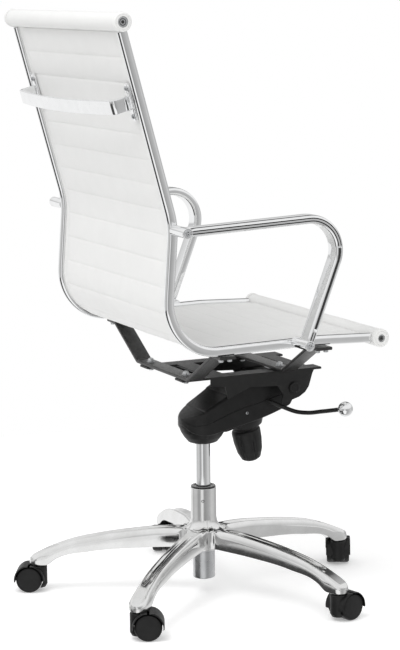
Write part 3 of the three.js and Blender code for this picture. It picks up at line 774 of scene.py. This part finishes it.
@dataclass
class Mechanism:
    """Gas lift, tilt housing with its cover, bracket, knob and height lever."""

    shop: Workshop
    lift_radius: float = 14.0
    pivot: tuple = (-147.0, 400.0)
    cheek: float = 95.0
    housing_rear: float = 47.0
    housing_front: float = 62.0
    knob_at: tuple = (0.0, -86.5, 331.0)
    knob_tilt: float = math.radians(12)
    lever_path: tuple = ((-52, -104, 374), (-64, -107, 372.5), (-82, -127, 363), (-104, -146, 355),
                         (-128, -157, 356), (-165, -168, 364), (-216, -182.5, 376))
    ball: tuple = (-224.0, -185.0, 377.5)

    def housing(self) -> Shell:
        """The wedge housing.

        Stations run from the round rear to the rounded front. Each is a rounded rectangle whose half
        width, top and bottom follow smooth lines of y, the half width a circle at the rear; a narrow
        groove goes round at a set share of the height, for the parting line.
        """
        rear = self.housing_rear * np.sin(np.linspace(1.5608, 0.12, 22))
        front = np.linspace(0, -160, 60)
        nose = -160 - 7 * np.sin(np.linspace(0.15, 1.5608, 10))
        y = np.concatenate([rear, front, nose, [15.0, 14.0, -30.0, -31.0, -59.5, -60.5, -121.5, -122.5]])
        y = np.sort(np.unique(y))[::-1]
        width = np.where(
            y > 0, np.sqrt(np.clip(self.housing_rear**2 - y**2, 0, None)),
            hermite([-170, -95, -8, 0], [62, 62, 47.5, 47], y),
        )
        end = np.sqrt(np.clip(1 - (np.clip(-153 - y, 0, 14) / 14.05) ** 2, 0, 1))
        top = np.interp(y, [-168, -147, -122, -60, -30, 15, 47], [417, 418, 416, 402, 387, 361, 345])
        top = top - 1.3 * smoothstep(-31, -30, y) - 1.3 * smoothstep(14, 15, y)
        low = hermite([-168, -138, -22, 0, 22, 40, 47], [364, 353, 319.4, 314, 314, 322, 331], y)
        middle = 0.5 * (top + low) + 6
        top, low = middle + (top - middle) * end, middle + (low - middle) * end
        width = width - 5 * (1 - end)
        corner = np.minimum(6.0, width * 0.45)
        seam = low + 0.46 * (top - low)
        turn = np.linspace(0, math.pi / 2, 6)
        s, c = np.sin(turn), np.cos(turn)
        up_x = (width - corner)[:, None] + corner[:, None] * c
        up_z = (top - np.minimum(corner, (top - low) * 0.34))[:, None] + np.minimum(
            corner, (top - low) * 0.34)[:, None] * s
        small = np.minimum(3.0, width * 0.3)
        low_x = (width - small)[:, None] + small[:, None] * s
        low_z = (low + np.minimum(small, (top - low) * 0.2))[:, None] - np.minimum(
            small, (top - low) * 0.2)[:, None] * c
        notch = np.minimum(0.9, width * 0.02)
        seam_x = np.stack([width, width - notch, width - notch, width], axis=1)
        seam_z = np.stack([seam - 0.9, seam - 0.5, seam + 0.5, seam + 0.9], axis=1)
        half_x = np.concatenate([low_x, seam_x, up_x], axis=1)
        half_z = np.concatenate([low_z, seam_z, up_z], axis=1)
        x = np.concatenate([half_x, -half_x[:, ::-1]], axis=1)
        z = np.concatenate([half_z, half_z[:, ::-1]], axis=1)
        return Shell().grid(np.stack([x, np.broadcast_to(y[:, None], x.shape), z], axis=-1))

    def lift_seat(self) -> Shell:
        """The flared round seat under the housing that takes the gas lift."""
        return turned([(14.4, 292, 0), (21, 292, 1), (28, 294.5, 3), (36, 304, 4), (42, 314, 4),
                       (46, 325, 4), (46.6, 338, 0), (14.4, 338, 0)], segments=72)

    def cover(self) -> Shell:
        """Bottom tray on the housing's slope, with a round boss for the knob."""
        slope = math.atan2(33.6, 116)
        turn = np.array([[1, 0, 0], [0, math.cos(slope), math.sin(slope)],
                         [0, -math.sin(slope), math.cos(slope)]])
        outline = rounded_box(84, 114, 9, 6)
        levels = np.array([-6.4, -6.1, -5.2, -0.3])
        inset = np.array([1.8, 0.8, 0.0, 0.0])
        scale = 1 - inset[:, None] / 42
        ring = np.stack([outline[None, :, 0] * scale, outline[None, :, 1] * scale,
                         np.broadcast_to(levels[:, None], (4, len(outline)))], axis=-1)
        shell = Shell().grid(ring)
        shell.add(turned([(0, -25), (29, -25, 1.5), (38, -5, 1.0), (0, -5)], (0, -9, 0), (0, 0, 1), 64))
        return shell.moved(turn, (0, -80, 336.2))

    def knob(self) -> Shell:
        """The tension knob: a tapered grip turned round its axis, with six rounded flutes."""

        def flutes(h: Array, angle: Array) -> Array:
            """Narrow valleys at six angles, fading out towards both ends of the grip."""
            valley = np.clip(np.cos(6 * angle), 0, 1) ** 6
            fade = smoothstep(-86, -72, h) * (1 - smoothstep(-32, -26, h))
            return 1 - 0.12 * valley * fade

        profile = [(0, -86), (12, -86, 2), (18.5, -82, 4), (24.5, -67, 5), (27.6, -46, 8), (28.2, -28, 2),
                   (27, -24, 1), (0, -24)]
        tilt = self.knob_tilt
        turn = np.array([[1, 0, 0], [0, math.cos(tilt), math.sin(tilt)],
                         [0, -math.sin(tilt), math.cos(tilt)]])
        return turned(profile, segments=96, ripple=flutes, steps=6).moved(turn, self.knob_at)

    def lever(self) -> Shell:
        """The bent lever rod: a circle carried along a smooth curve through its bend points."""
        bends = np.array(self.lever_path, float)
        s = lengths(bends)
        at = np.linspace(0, s[-1], 70)
        path = np.stack([hermite(s, bends[:, k], at) for k in range(3)], axis=1)
        t = tangents(path)
        up = unit(np.cross(t, np.array([0.3, -0.9, 0.1])))
        side = np.cross(up, t)
        return Shell().grid(carried(path, oval(8, 8, 1, 20), side, up))

    def build(self, frame: dict) -> None:
        """Makes the lift's and the mechanism's pieces."""
        shop = self.shop
        r = self.lift_radius
        cylinder = turned([(5.4, 118), (r, 118, 1), (r, 300), (r - 1.5, 336, 0.5), (5.4, 336)], segments=72)
        shop.place(cylinder, "lift_cylinder", "lift", CHROME, "gas_cylinder")
        rod = turned([(0, 23.5), (5, 23.5, 0.6), (5, 140), (0, 140)], segments=28)
        shop.place(rod, "lift_rod", "spindle", STEEL, "piston_rod")
        clip = turned([(5.3, 25), (10, 25, 0.5), (10, 27.8, 0.5), (5.3, 27.8)], segments=28)
        shop.place(clip, "lift_clip", "spindle", POWDER_COAT, "retaining_clip")
        body = self.housing().add(self.lift_seat())
        shop.place(body, "tilt_housing", "lift", BLACK_PLASTIC, "lower_housing", sharp=32)
        shop.place(self.cover(), "tilt_housing_cover", "lift", BLACK_PLASTIC, "housing_cover")
        screw = socket_screw((-56.6, -66, 352), (-1, 0, 0), 2.8, 2.6)
        shop.place(screw, "housing_side_screw", "lift", STEEL, "housing_screw")
        x = self.cheek - 0.2
        shaft = turned([(0, -x), (6, -x, 0.8), (6, x, 0.8), (0, x)], (0, *self.pivot), (1, 0, 0), 32)
        shop.place(shaft, "tilt_axle", "lift", STEEL, "tilt_shaft")
        shop.place(self.knob(), "tension_grip", "knob", BLACK_PLASTIC, "tension_knob")
        down = (0, -math.sin(self.knob_tilt), -math.cos(self.knob_tilt))
        thread = turned([(0, -16), (5, -16, 0.6), (5, 48, 0.6), (0, 48)], self.knob_at, down, 28)
        shop.place(thread, "tension_bolt", "knob", STEEL, "tension_screw")
        shop.place(self.lever(), "lift_lever", "lever", POWDER_COAT, "height_lever")
        tip, before = np.array(self.lever_path[-1], float), np.array(self.lever_path[-2], float)
        axis = unit(tip - before)
        a = np.linspace(-math.pi / 2 + 0.36, math.pi / 2, 26)
        ball = [(0.0, -15.2), (5.2, -15.2, 0.5), (5.2, -12.5), *zip(14 * np.cos(a), 14 * np.sin(a))]
        shop.place(turned(ball, self.ball, axis, 48), "lift_lever_ball", "lever", CHROME, "lever_ball")
        spring = self.shop.eased(frame, "tilt_spring", "tilt_spring_coil", "lift", STEEL, 0.1)
        spring.modifiers.clear()
        shop.eased(frame, "tilt_bracket", "tilt_bracket_plate", "seat", POWDER_COAT, 0.9)
        for side, s in (("left", 1), ("right", -1)):
            cap = turned([(0, 0.3), (11, 0.3, 0.3), (11, 3.4, 1.2), (8.6, 4.3, 0.5), (7.6, 3.6, 0.4),
                          (0, 3.6)], (s * self.cheek, *self.pivot), (s, 0, 0), 40)
            shop.place(cap, f"pivot_cover_{side}", "seat", BLACK_PLASTIC, f"pivot_cap_{side}")


# --- Seat frame -----------------------------------------------------------------------------


@dataclass
class SeatFrame:
    """Side rails, cross braces, arms and the grab handle."""

    shop: Workshop
    profile: tuple = ((267, 1094, 0), (171, 741, 150), (188, 510.5, 92), (-115, 516, 300), (-240, 511, 0))
    rail_x: float = 245.0
    rail_width: float = 15.0
    rail_depth: float = 18.0
    roll_radius: float = 16.5
    arm_x: float = 290.0
    arm_width: float = 34.0
    arm_depth: float = 16.0
    arm_profile: tuple = ((172, 734, 0), (-156, 748, 58), (-66, 518, 0))
    stub_radius: float = 9.6
    brace_line: tuple = ((-252, 499.5, 0), (-218, 499.5, 9), (-112, 438, 9), (112, 438, 9),
                         (218, 499.5, 9), (252, 499.5, 0))
    brace_y: tuple = (("rear", 70.0), ("front", -126.0))

    def side_line(self, end: float, step: float) -> Array:
        """The seat's side profile with rounded bends, cut `end` short of both rolls."""
        return trimmed(round_corners(self.profile, 160), end, end, step)

    def rails(self) -> None:
        """Both rails: a rounded oval section along the side line."""
        section = oval(self.rail_width, self.rail_depth, 0.8, 48)
        rail = Shell().grid(along_side(self.side_line(self.roll_radius + 0.5, 4), self.rail_x, section))
        self.shop.place(rail, "side_rail_left", "seat", CHROME, "left_rail")
        self.shop.place(rail.mirrored(), "side_rail_right", "seat", CHROME, "right_rail")

    def braces(self) -> None:
        """Cross braces: a flat rounded bar carried along its bent line, with bolts at the flanges."""
        line = round_corners(self.brace_line, 8)
        path = np.column_stack([line[:, 0], np.zeros(len(line)), line[:, 1]])
        t = tangents(path)
        normal = np.column_stack([-t[:, 2], np.zeros(len(t)), t[:, 0]])
        for name, y in self.brace_y:
            bar = Shell().grid(carried(path + [0, y, 0], rounded_box(31.8, 5.8, 1.4, 3),
                                       np.array([0, 1.0, 0]), normal))
            self.shop.place(bar, f"{name}_cross_brace", "seat", BRACE_COAT, f"{name}_brace")
            bolts = Shell()
            for x in (-241, 241):
                for dy in (-8.5, 8.5):
                    bolts.add(hex_head((x, y + dy, 496.5), (0, 0, -1), 8.0, 5.2))
            for x in (-78, 78):
                bolts.add(nut_dome((x, y + 1, 441), (0, 0, 1), 6.2))
                bolts.add(hex_head((x, y + 1, 430.4), (0, 0, -1), 9.0, 5.0))
            self.shop.place(bolts, f"{name}_brace_bolts", "seat", STEEL)

    def arm_section(self, share: Array) -> Array:
        """The arm's section along its length.

        A rounded rectangle whose outer side carries a groove 6.5 mm wide: its four groove points move
        inward by 3 mm times `share`, which is 1 along the slot and 0 elsewhere.
        """
        w, d = self.arm_width / 2, self.arm_depth / 2
        base = round_corners([(w, -d, 6.4), (w, d, 6.4), (-w, d, 6.4), (-w, 3.4, 0), (-w, 3.1, 0),
                              (-w, -3.1, 0), (-w, -3.4, 0), (-w, -d, 6.4)], 7, closed=True)
        section = np.repeat(base[None], len(share), axis=0)
        groove = (base[:, 0] < -w + 0.01) & (np.abs(base[:, 1]) < 3.2)
        section[:, groove, 0] += 3.2 * share[:, None]
        return section

    def arms(self) -> None:
        """Both arms with their slot inlays, stubs and feet."""
        line = resample(round_corners(self.arm_profile, 120), 2.5)
        s = lengths(line)
        bend_end = s[-1] - 187
        share = smoothstep(bend_end, bend_end + 5, s) * (1 - smoothstep(s[-1] - 32, s[-1] - 27, s))
        section = self.arm_section(share)
        near = np.minimum(s, s[-1] - s)
        section[..., 1] *= (0.72 + 0.28 * smoothstep(0, 16, near))[:, None]
        arm = Shell().grid(along_side(line, -self.arm_x, section))
        slot = (s > bend_end + 3) & (s < s[-1] - 30)
        strip = rounded_box(1.2, 6.0, 0.3, 2) + [-self.arm_width / 2 + 2.4, 0]
        inlay = Shell().grid(along_side(line[slot], -self.arm_x, strip))
        for side, shell, dark in (("right", arm, inlay), ("left", arm.mirrored(), inlay.mirrored())):
            self.shop.place(shell, f"arm_loop_{side}", "seat", CHROME, f"{side}_arm")
            self.shop.place(dark, f"arm_slot_inlay_{side}", "seat", GLOSS_BLACK)
        r = self.stub_radius
        inner, outer = self.rail_x + self.rail_width / 2 + 0.3, self.arm_x + 17.5
        for side, k in (("left", 1), ("right", -1)):
            for name, (y, z, _) in (("arm_stub", self.arm_profile[0]), ("arm_foot", self.arm_profile[2])):
                pin = turned([(0, inner), (r, inner, 0.6), (r, outer, 1.4), (r - 2.4, outer, 0.3),
                              (r - 3.0, outer - 1.2, 0.3), (0, outer - 1.2)], (0, y, z), (k, 0, 0), 48)
                self.shop.place(pin, f"{name}_boss_{side}", "seat", CHROME, f"{name}_{side}")
                bolt = socket_screw((k * (outer - 1.6), y, z), (k, 0, 0), r - 3.9, 2.0, 0.2)
                self.shop.place(bolt, f"{name}_bolt_{side}", "seat", STEEL)

    def handle(self) -> None:
        """The grab handle: a flat bar bowed away from the back, two end plates and their screws."""
        rear = 8.5
        ends = [(219, rear - 1.5, 0), (219, rear + 31, 7)]
        x = np.linspace(190, -190, 180)
        bow = np.column_stack([x, rear + 34.5 + 11.5 * (1 - (x / 190) ** 2)])
        first = round_corners([*ends, (190, float(bow[0, 1]), 0)], 24)
        last = first[::-1] * [-1, 1]
        line = resample(np.concatenate([first[:-1], bow, last[1:]]), 1.5)
        path = np.column_stack([line, np.zeros(len(line))])
        t = tangents(path)
        normal = np.column_stack([-t[:, 1], t[:, 0], np.zeros(len(t))])
        bar = Shell().grid(carried(path, rounded_box(26, 4.4, 1.9, 4), np.array([0, 0, 1.0]), normal))
        lean = math.atan2(267 - 171, 1094 - 741)
        turn = np.array([[1, 0, 0], [0, math.cos(lean), math.sin(lean)],
                         [0, -math.sin(lean), math.cos(lean)]])
        at = (0, 229.9, 957.5)
        screws = Shell()
        for x in (-219, 219):
            end = np.linspace(0, math.pi, 14)
            pill = np.concatenate([np.column_stack([x + 8.4 * np.cos(end), 26 + 8.4 * np.sin(end)]),
                                   np.column_stack([x - 8.4 * np.cos(end), -26 - 8.4 * np.sin(end)])])
            centre = np.array([x, 0.0])
            levels = [(rear - 4, 1.0), (rear - 1.5, 1.0), (rear - 0.5, 0.94), (rear, 0.85)]
            plate = np.stack([np.column_stack([*(centre + (pill - centre) * [k, 1 - (1 - k) / 4]).T,
                                               np.full(len(pill), y)])[:, [0, 2, 1]]
                              for y, k in levels])
            bar.grid(plate)
            for z in (-25, 25):
                screws.add(socket_screw((x, rear - 0.2, z), (0, 1, 0), 4.6, 2.2, 0.5))
        self.shop.place(bar.moved(turn, at), "back_handle", "seat", CHROME, "grab_handle")
        self.shop.place(screws.moved(turn, at), "back_handle_screws", "seat", STEEL)

    def build(self) -> None:
        """Makes every piece of the frame."""
        self.rails()
        self.braces()
        self.arms()
        self.handle()


# --- Leather --------------------------------------------------------------------------------


@dataclass
class Upholstery:
    """The ribbed sling, its hems, the top and front rolls and their caps."""

    shop: Workshop
    frame: SeatFrame
    pitch: float = 46.0
    half: float = 237.2
    hem: float = 11.0
    roll_end: float = 252.6
    cap_end: float = 262.0

    def ribs(self, s: Array, x: Array, face: float) -> Array:
        """Half thickness of the sling.

        Each rib is the square root of a sine arch between two seams, lower towards the hems, with
        slow waves across it and short puckers beside the seams.
        """
        phase = (s / self.pitch) % 1
        arch = np.sqrt(np.clip(np.sin(math.pi * phase), 0, 1) + 0.004)
        inside = smoothstep(0, 1, (self.half - self.hem - np.abs(x)) / 16)
        slow = 0.16 * np.sin(x / 57 + 2.3 * np.floor(s / self.pitch)) * np.sin(x / 23 + s / 61)
        near = np.exp(-((np.minimum(phase, 1 - phase) * self.pitch / 5.5) ** 2))
        pucker = 0.16 * near * np.sin(x / 2.9 + 1.7 * np.floor(s / self.pitch + 0.5)) * np.sin(x / 11.3)
        edge = 1.25 + 0.25 * smoothstep(0, 1, (np.abs(x) - self.half + self.hem) / 2)
        crease = 0.55 * np.exp(-((np.minimum(phase, 1 - phase) * self.pitch / 1.6) ** 2))
        rib = 1.25 + 2.15 * arch * (1 + slow) + pucker * face - crease
        return rib * inside + edge * (1 - inside)

    def sling(self) -> bpy.types.Object:
        """One closed sheet: the side profile carried across the chair, ribbed on both faces."""
        line = self.frame.side_line(self.frame.roll_radius + 0.6, 1.6)
        s = lengths(line)[:, None]
        t = tangents(line)
        normal = np.column_stack([-t[:, 1], t[:, 0]])
        edge = self.half - 0.05 - np.array([0.0, 0.5, 1.5, 3, 6, 9, 10.4, 11.2, 12.2, 14, 18, 24, 32])
        middle = np.linspace(edge[-1], -edge[-1], 62)[1:-1]
        x = np.concatenate([edge, middle, -edge[::-1]])[None, :]
        round_off = np.sqrt(np.clip(1 - (1 - np.clip((self.half - np.abs(x)) / 1.6, 0, 1)) ** 2, 0.0, 1))
        groove = 1 - 0.42 * np.exp(-(((self.half - self.hem - np.abs(x)) / 0.9) ** 2))
        one = self.ribs(s, x, 1.0) * round_off * groove
        two = self.ribs(s, x + 31.0 * (np.abs(x) < 180), -1.0) * round_off * groove
        y, z = line[:, :1], line[:, 1:2]
        ny, nz = normal[:, :1], normal[:, 1:2]
        wide = np.broadcast_to(x, one.shape)
        front = np.stack([wide, y + ny * one, z + nz * one], axis=-1)
        back = np.stack([wide, y - ny * two, z - nz * two], axis=-1)[:, ::-1]
        sheet = Shell().grid(np.concatenate([front, back], axis=1))
        return self.shop.place(sheet, "ribbed_sling", "seat", LEATHER, "sling", sharp=80)

    def stitches(self) -> bpy.types.Object:
        """Stitch lines inside both hems: short rounded threads laid along the sling's two faces."""
        step = 5.2
        line = self.frame.side_line(self.frame.roll_radius + 8, step)
        t = tangents(line)
        normal = np.column_stack([-t[:, 1], t[:, 0]])
        angle = np.linspace(0, TAU, 6, endpoint=False)
        along = np.array([-1.75, -1.3, 0.0, 1.3, 1.75])
        thick = np.array([0.12, 0.34, 0.42, 0.34, 0.12])
        shell = Shell()
        for x in (-self.half + 8.2, self.half - 8.2):
            for face in (1.0, -1.0):
                lift = 1.5
                base = line + normal * lift * face
                for k in range(1, len(line) - 1, 1):
                    centre = base[k]
                    ring_x = x + thick[:, None] * np.cos(angle)
                    up = thick[:, None] * np.sin(angle)
                    yy = centre[0] + along[:, None] * t[k, 0] + up * normal[k, 0]
                    zz = centre[1] + along[:, None] * t[k, 1] + up * normal[k, 1]
                    shell.grid(np.stack([ring_x, yy, zz], axis=-1))
        return self.shop.place(shell, "hem_stitching", "seat", THREAD, sharp=80)

    def roll(self, name: str, y: float, z: float, bar: float) -> None:
        """A padded leather roll round its crossbar, with a cap and a screw at each end.

        The roll's radius is that of the CAD node less a soft waist between faint gathers, a sum of
        two slow waves along it.
        """
        r = self.frame.roll_radius
        inner = bar + 0.3
        x = np.concatenate([[-self.roll_end], -self.roll_end + 1.6 * (1 - np.cos(np.linspace(0.3, 1.57, 5))),
                            np.linspace(-self.roll_end + 3, self.roll_end - 3, 90),
                            self.roll_end - 1.6 * (1 - np.cos(np.linspace(1.57, 0.3, 5))), [self.roll_end]])
        a = np.linspace(0, TAU, 56, endpoint=False)
        ease = np.sqrt(np.clip(1 - (1 - np.clip((self.roll_end - np.abs(x)) / 2.4, 0, 1)) ** 2, 0, 1))
        wave = 0.22 * np.sin(x[:, None] / 21 + 2 * a) * np.sin(x[:, None] / 67 + 0.6)
        outer = (r - 1.9 + 1.9 * ease)[:, None] + wave * ease[:, None] - 0.15
        outline = [np.stack([np.broadcast_to(x[:, None], outer.shape), y + outer * np.cos(a),
                             z + outer * np.sin(a)], axis=-1)]
        hole = np.array([self.roll_end, -self.roll_end])[:, None]
        outline.append(np.stack([np.broadcast_to(hole, (2, len(a))), y + inner * np.cos(a) + 0 * hole,
                                 z + inner * np.sin(a) + 0 * hole], axis=-1))
        pad = Shell().grid(np.concatenate(outline), loop=True)
        self.shop.place(pad, f"{name}_roll_pad", "seat", LEATHER, f"{name}_roll", sharp=60)
        end = self.cap_end
        tube = turned([(3, -end + 1.5), (bar, -end + 1.5, 0.4), (bar, end - 1.5, 0.4), (3, end - 1.5)],
                      (0, y, z), (1, 0, 0), 36)
        self.shop.place(tube, f"{name}_bar", "seat", STEEL, f"{name}_crossbar")
        for side, k in (("left", 1), ("right", -1)):
            cap = turned([
                (inner, self.roll_end + 0.3), (r + 0.5, self.roll_end + 0.3, 0.4), (r + 0.5, end - 2.2, 1.6),
                (r - 1.8, end, 0.8), (r - 3.2, end, 0.3), (r - 3.7, end - 0.7, 0.2), (r - 4.2, end, 0.3),
                (inner, end, 0.3),
            ], (0, y, z), (k, 0, 0), 56)
            self.shop.place(cap, f"{name}_end_cap_{side}", "seat", WHITE_TRIM, f"{name}_cap_{side}")
            core = bar * 0.68
            plug = turned([(0, end - 3), (core, end - 3, 0), (core, end - 1.2, 0.3),
                           (core - 1.2, end - 1.2, 0.2), (core - 1.8, end - 2.2, 0.2),
                           (0, end - 2.2)], (0, y, z), (k, 0, 0), 28)
            self.shop.place(plug, f"{name}_end_plug_{side}", "seat", BRACE_COAT)

    def build(self) -> None:
        """Makes the leather pieces."""
        self.sling()
        self.stitches()
        self.roll("top", 267, 1094, 9.2)
        self.roll("front", -240, 511, 7)


# --- Studio ---------------------------------------------------------------------------------


@dataclass
class Studio:
    """White floor, soft lights, a light tent with dark strips and the camera."""

    eye: tuple = (-3552.2, 1708.7, 1161.6)
    azimuth: float = 242.188
    elevation: float = 8.295
    roll: float = -0.27
    focal: float = 2110.1
    centre: tuple = (278.7, 288.3)
    frame: tuple = (400, 650)
    floor_radius: float = 1.5
    floor_glow: float = 0.3
    fill: float = 0.78

    def camera(self) -> None:
        """The camera from its fitted place, direction, roll, focal length and centre."""
        a, e = math.radians(self.azimuth), math.radians(self.elevation)
        back = Vector((math.sin(a) * math.cos(e), -math.cos(a) * math.cos(e), math.sin(e)))
        right = Vector((0, 0, 1)).cross(back).normalized()
        up = back.cross(right)
        basis = Matrix((right, up, back)).transposed() @ Matrix.Rotation(math.radians(self.roll), 3, "Z")
        data = bpy.data.cameras.new("camera")
        width, height = self.frame
        data.lens = self.focal / height * data.sensor_width
        data.shift_x = (width / 2 - self.centre[0]) / height
        data.shift_y = (self.centre[1] - height / 2) / height
        data.clip_end = 100
        obj = bpy.data.objects.new("camera", data)
        obj.matrix_world = Matrix.Translation(Vector(self.eye) * MM) @ basis.to_4x4()
        bpy.context.scene.collection.objects.link(obj)
        bpy.context.scene.camera = obj

    def floor(self) -> None:
        """A round white floor: rings of points round the chair, brighter than paper where no shadow falls."""
        radius = np.linspace(0.001, self.floor_radius, 12)[:, None] / MM
        a = np.linspace(0, TAU, 72, endpoint=False)[None, :]
        points = np.stack([radius * np.cos(a), radius * np.sin(a), 0 * radius * a], axis=-1)
        mat = bpy.data.materials.new("studio_floor")
        mat.use_nodes = True
        shader = mat.node_tree.nodes["Principled BSDF"]
        shader.inputs["Base Color"].default_value = (0.93, 0.93, 0.93, 1)
        shader.inputs["Roughness"].default_value = 0.9
        shader.inputs["Specular IOR Level"].default_value = 0.1
        shader.inputs["Emission Color"].default_value = (1, 1, 1, 1)
        shader.inputs["Emission Strength"].default_value = self.floor_glow
        tree = mat.node_tree
        ray = tree.nodes.new("ShaderNodeLightPath")
        clear = tree.nodes.new("ShaderNodeBsdfTransparent")
        both = tree.nodes.new("ShaderNodeMixShader")
        tree.links.new(ray.outputs["Is Glossy Ray"], both.inputs["Fac"])
        tree.links.new(shader.outputs["BSDF"], both.inputs[1])
        tree.links.new(clear.outputs["BSDF"], both.inputs[2])
        tree.links.new(both.outputs["Shader"], tree.nodes["Material Output"].inputs["Surface"])
        floor = Shell().grid(points, caps=False).build("studio_floor", mat)

    def lamp(self, name: str, at: Sequence[float], aim: Sequence[float], size: tuple[float, float],
             power: float) -> None:
        """One rectangular soft light aimed at a point."""
        data = bpy.data.lights.new(name, "AREA")
        data.shape = "RECTANGLE"
        data.size, data.size_y = size
        data.energy = power
        obj = bpy.data.objects.new(name, data)
        obj.location = Vector(at)
        obj.rotation_mode = "QUATERNION"
        obj.rotation_quaternion = (Vector(aim) - Vector(at)).to_track_quat("-Z", "Y")
        obj.visible_glossy = False
        bpy.context.scene.collection.objects.link(obj)

    def tent(self) -> None:
        """World light: plain white, but mirror-like surfaces see a tent with dark strips.

        The strips are a ramp over the direction's height, multiplied by one over its bearing.
        """
        world = bpy.data.worlds.new("studio_tent")
        bpy.context.scene.world = world
        world.use_nodes = True
        nodes, link = world.node_tree.nodes, world.node_tree.links.new
        nodes.clear()
        out = nodes.new("ShaderNodeOutputWorld")
        place = nodes.new("ShaderNodeTexCoord")
        split = nodes.new("ShaderNodeSeparateXYZ")
        link(place.outputs["Generated"], split.inputs["Vector"])

        def ramp(stops: Sequence[tuple[float, float]]) -> bpy.types.Node:
            """A grey ramp of (position, value) stops."""
            node = nodes.new("ShaderNodeValToRGB")
            band = node.color_ramp
            while len(band.elements) < len(stops):
                band.elements.new(0.5)
            for element, (position, value) in zip(band.elements, stops):
                element.position, element.color = position, (value, value, value, 1)
            return node

        def remap(socket: bpy.types.NodeSocket, low: float, high: float) -> bpy.types.NodeSocket:
            """A value brought to 0..1 between two bounds."""
            node = nodes.new("ShaderNodeMapRange")
            node.inputs["From Min"].default_value, node.inputs["From Max"].default_value = low, high
            link(socket, node.inputs["Value"])
            return node.outputs["Result"]

        def blended(low: bpy.types.NodeSocket, high: bpy.types.NodeSocket,
                    share: bpy.types.NodeSocket) -> bpy.types.NodeSocket:
            """Two colours mixed by a share."""
            node = nodes.new("ShaderNodeMix")
            node.data_type = "RGBA"
            link(share, node.inputs["Factor"])
            link(low, node.inputs["A"])
            link(high, node.inputs["B"])
            return node.outputs["Result"]

        bearing = nodes.new("ShaderNodeMath")
        bearing.operation = "ARCTAN2"
        link(split.outputs["Y"], bearing.inputs[0])
        link(split.outputs["X"], bearing.inputs[1])
        around = remap(bearing.outputs["Value"], -math.pi, math.pi)
        low, level, sky = ramp(LOW_STOPS), ramp(LEVEL_STOPS), ramp(SKY_STOPS)
        link(around, low.inputs["Fac"])
        link(around, level.inputs["Fac"])
        link(split.outputs["Z"], sky.inputs["Fac"])
        below = blended(low.outputs["Color"], level.outputs["Color"],
                        remap(split.outputs["Z"], -0.31, -0.28))
        panel = ramp(PANEL_STOPS)
        link(around, panel.inputs["Fac"])
        above = blended(sky.outputs["Color"], panel.outputs["Color"], remap(split.outputs["Z"], 0.34, 0.4))
        above.node.blend_type = "MULTIPLY"
        everywhere = blended(below, above, remap(split.outputs["Z"], 0.03, 0.12))
        tent, plain, both = (nodes.new("ShaderNodeBackground"), nodes.new("ShaderNodeBackground"),
                             nodes.new("ShaderNodeMixShader"))
        link(everywhere, tent.inputs["Color"])
        plain.inputs["Strength"].default_value = self.fill
        plain.inputs["Color"].default_value = (1, 1, 1, 1)
        ray = nodes.new("ShaderNodeLightPath")
        link(ray.outputs["Is Glossy Ray"], both.inputs["Fac"])
        link(plain.outputs["Background"], both.inputs[1])
        link(tent.outputs["Background"], both.inputs[2])
        paper, seen = nodes.new("ShaderNodeBackground"), nodes.new("ShaderNodeMixShader")
        paper.inputs["Color"].default_value = (1, 1, 1, 1)
        link(ray.outputs["Is Camera Ray"], seen.inputs["Fac"])
        link(both.outputs["Shader"], seen.inputs[1])
        link(paper.outputs["Background"], seen.inputs[2])
        link(seen.outputs["Shader"], out.inputs["Surface"])

    def build(self) -> None:
        """Sets up the whole studio."""
        bpy.context.scene.view_settings.view_transform = "Standard"
        self.camera()
        self.floor()
        self.tent()
        self.lamp("top_light", (-0.7, 1.6, 3.2), (0, 0.1, 0.7), (1.6, 1.6), 42)
        self.lamp("side_light", (-2.8, -1.2, 1.7), (0, 0, 0.6), (1.0, 2.0), 10)


# Brightness of the tent by bearing: 0 and 1 at -X, 0.25 at -Y, 0.5 at +X, 0.75 at +Y.
# Level directions, which upright tubes and the column reflect.
LEVEL_STOPS = ((0.0, 0.38), (0.04, 0.42), (0.0894, 0.5), (0.144, 0.64), (0.213, 0.6), (0.303, 0.4),
               (0.36, 0.55), (0.423, 0.75), (0.5, 0.94), (0.6, 0.94), (0.628, 0.5), (0.7, 0.62), (0.756, 0.6),
               (0.806, 0.36), (0.856, 0.42), (0.876, 0.86), (0.915, 0.86), (0.945, 0.33), (1.0, 0.36))
# Directions that point below the horizon, which the leaning rails and the handle reflect.
LOW_STOPS = ((0.0, 0.5), (0.036, 0.36), (0.09, 0.52), (0.17, 0.6), (0.27, 0.75), (0.42, 0.9),
             (0.56, 0.94), (0.605, 0.92), (0.628, 0.06), (0.8, 0.07), (0.83, 0.98), (0.95, 1.0),
             (0.985, 0.5), (1.0, 0.48))
# Brightness of the tent by the sine of the height above the horizon.
SKY_STOPS = ((0.0, 0.42), (0.1, 0.5), (0.2, 0.74), (0.3, 0.86), (0.7, 0.92), (1.0, 0.8))
# Share of the sky's light left by bearing, for a dark panel high up behind the chair.
PANEL_STOPS = ((0.0, 1.0), (0.32, 1.0), (0.355, 0.08), (0.45, 0.06), (0.49, 1.0), (1.0, 1.0))


def main() -> None:
    """Builds every sub-assembly in order and reports the pieces."""
    logging.basicConfig(level=logging.INFO, format="%(message)s")
    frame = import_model()
    Studio().build()
    shop = Workshop()
    base = StarBase(shop)
    base.build()
    Casters(shop, base).build()
    Mechanism(shop).build(frame)
    seat = SeatFrame(shop)
    seat.build()
    Upholstery(shop, seat).build()


if __name__ == "__main__":
    main()
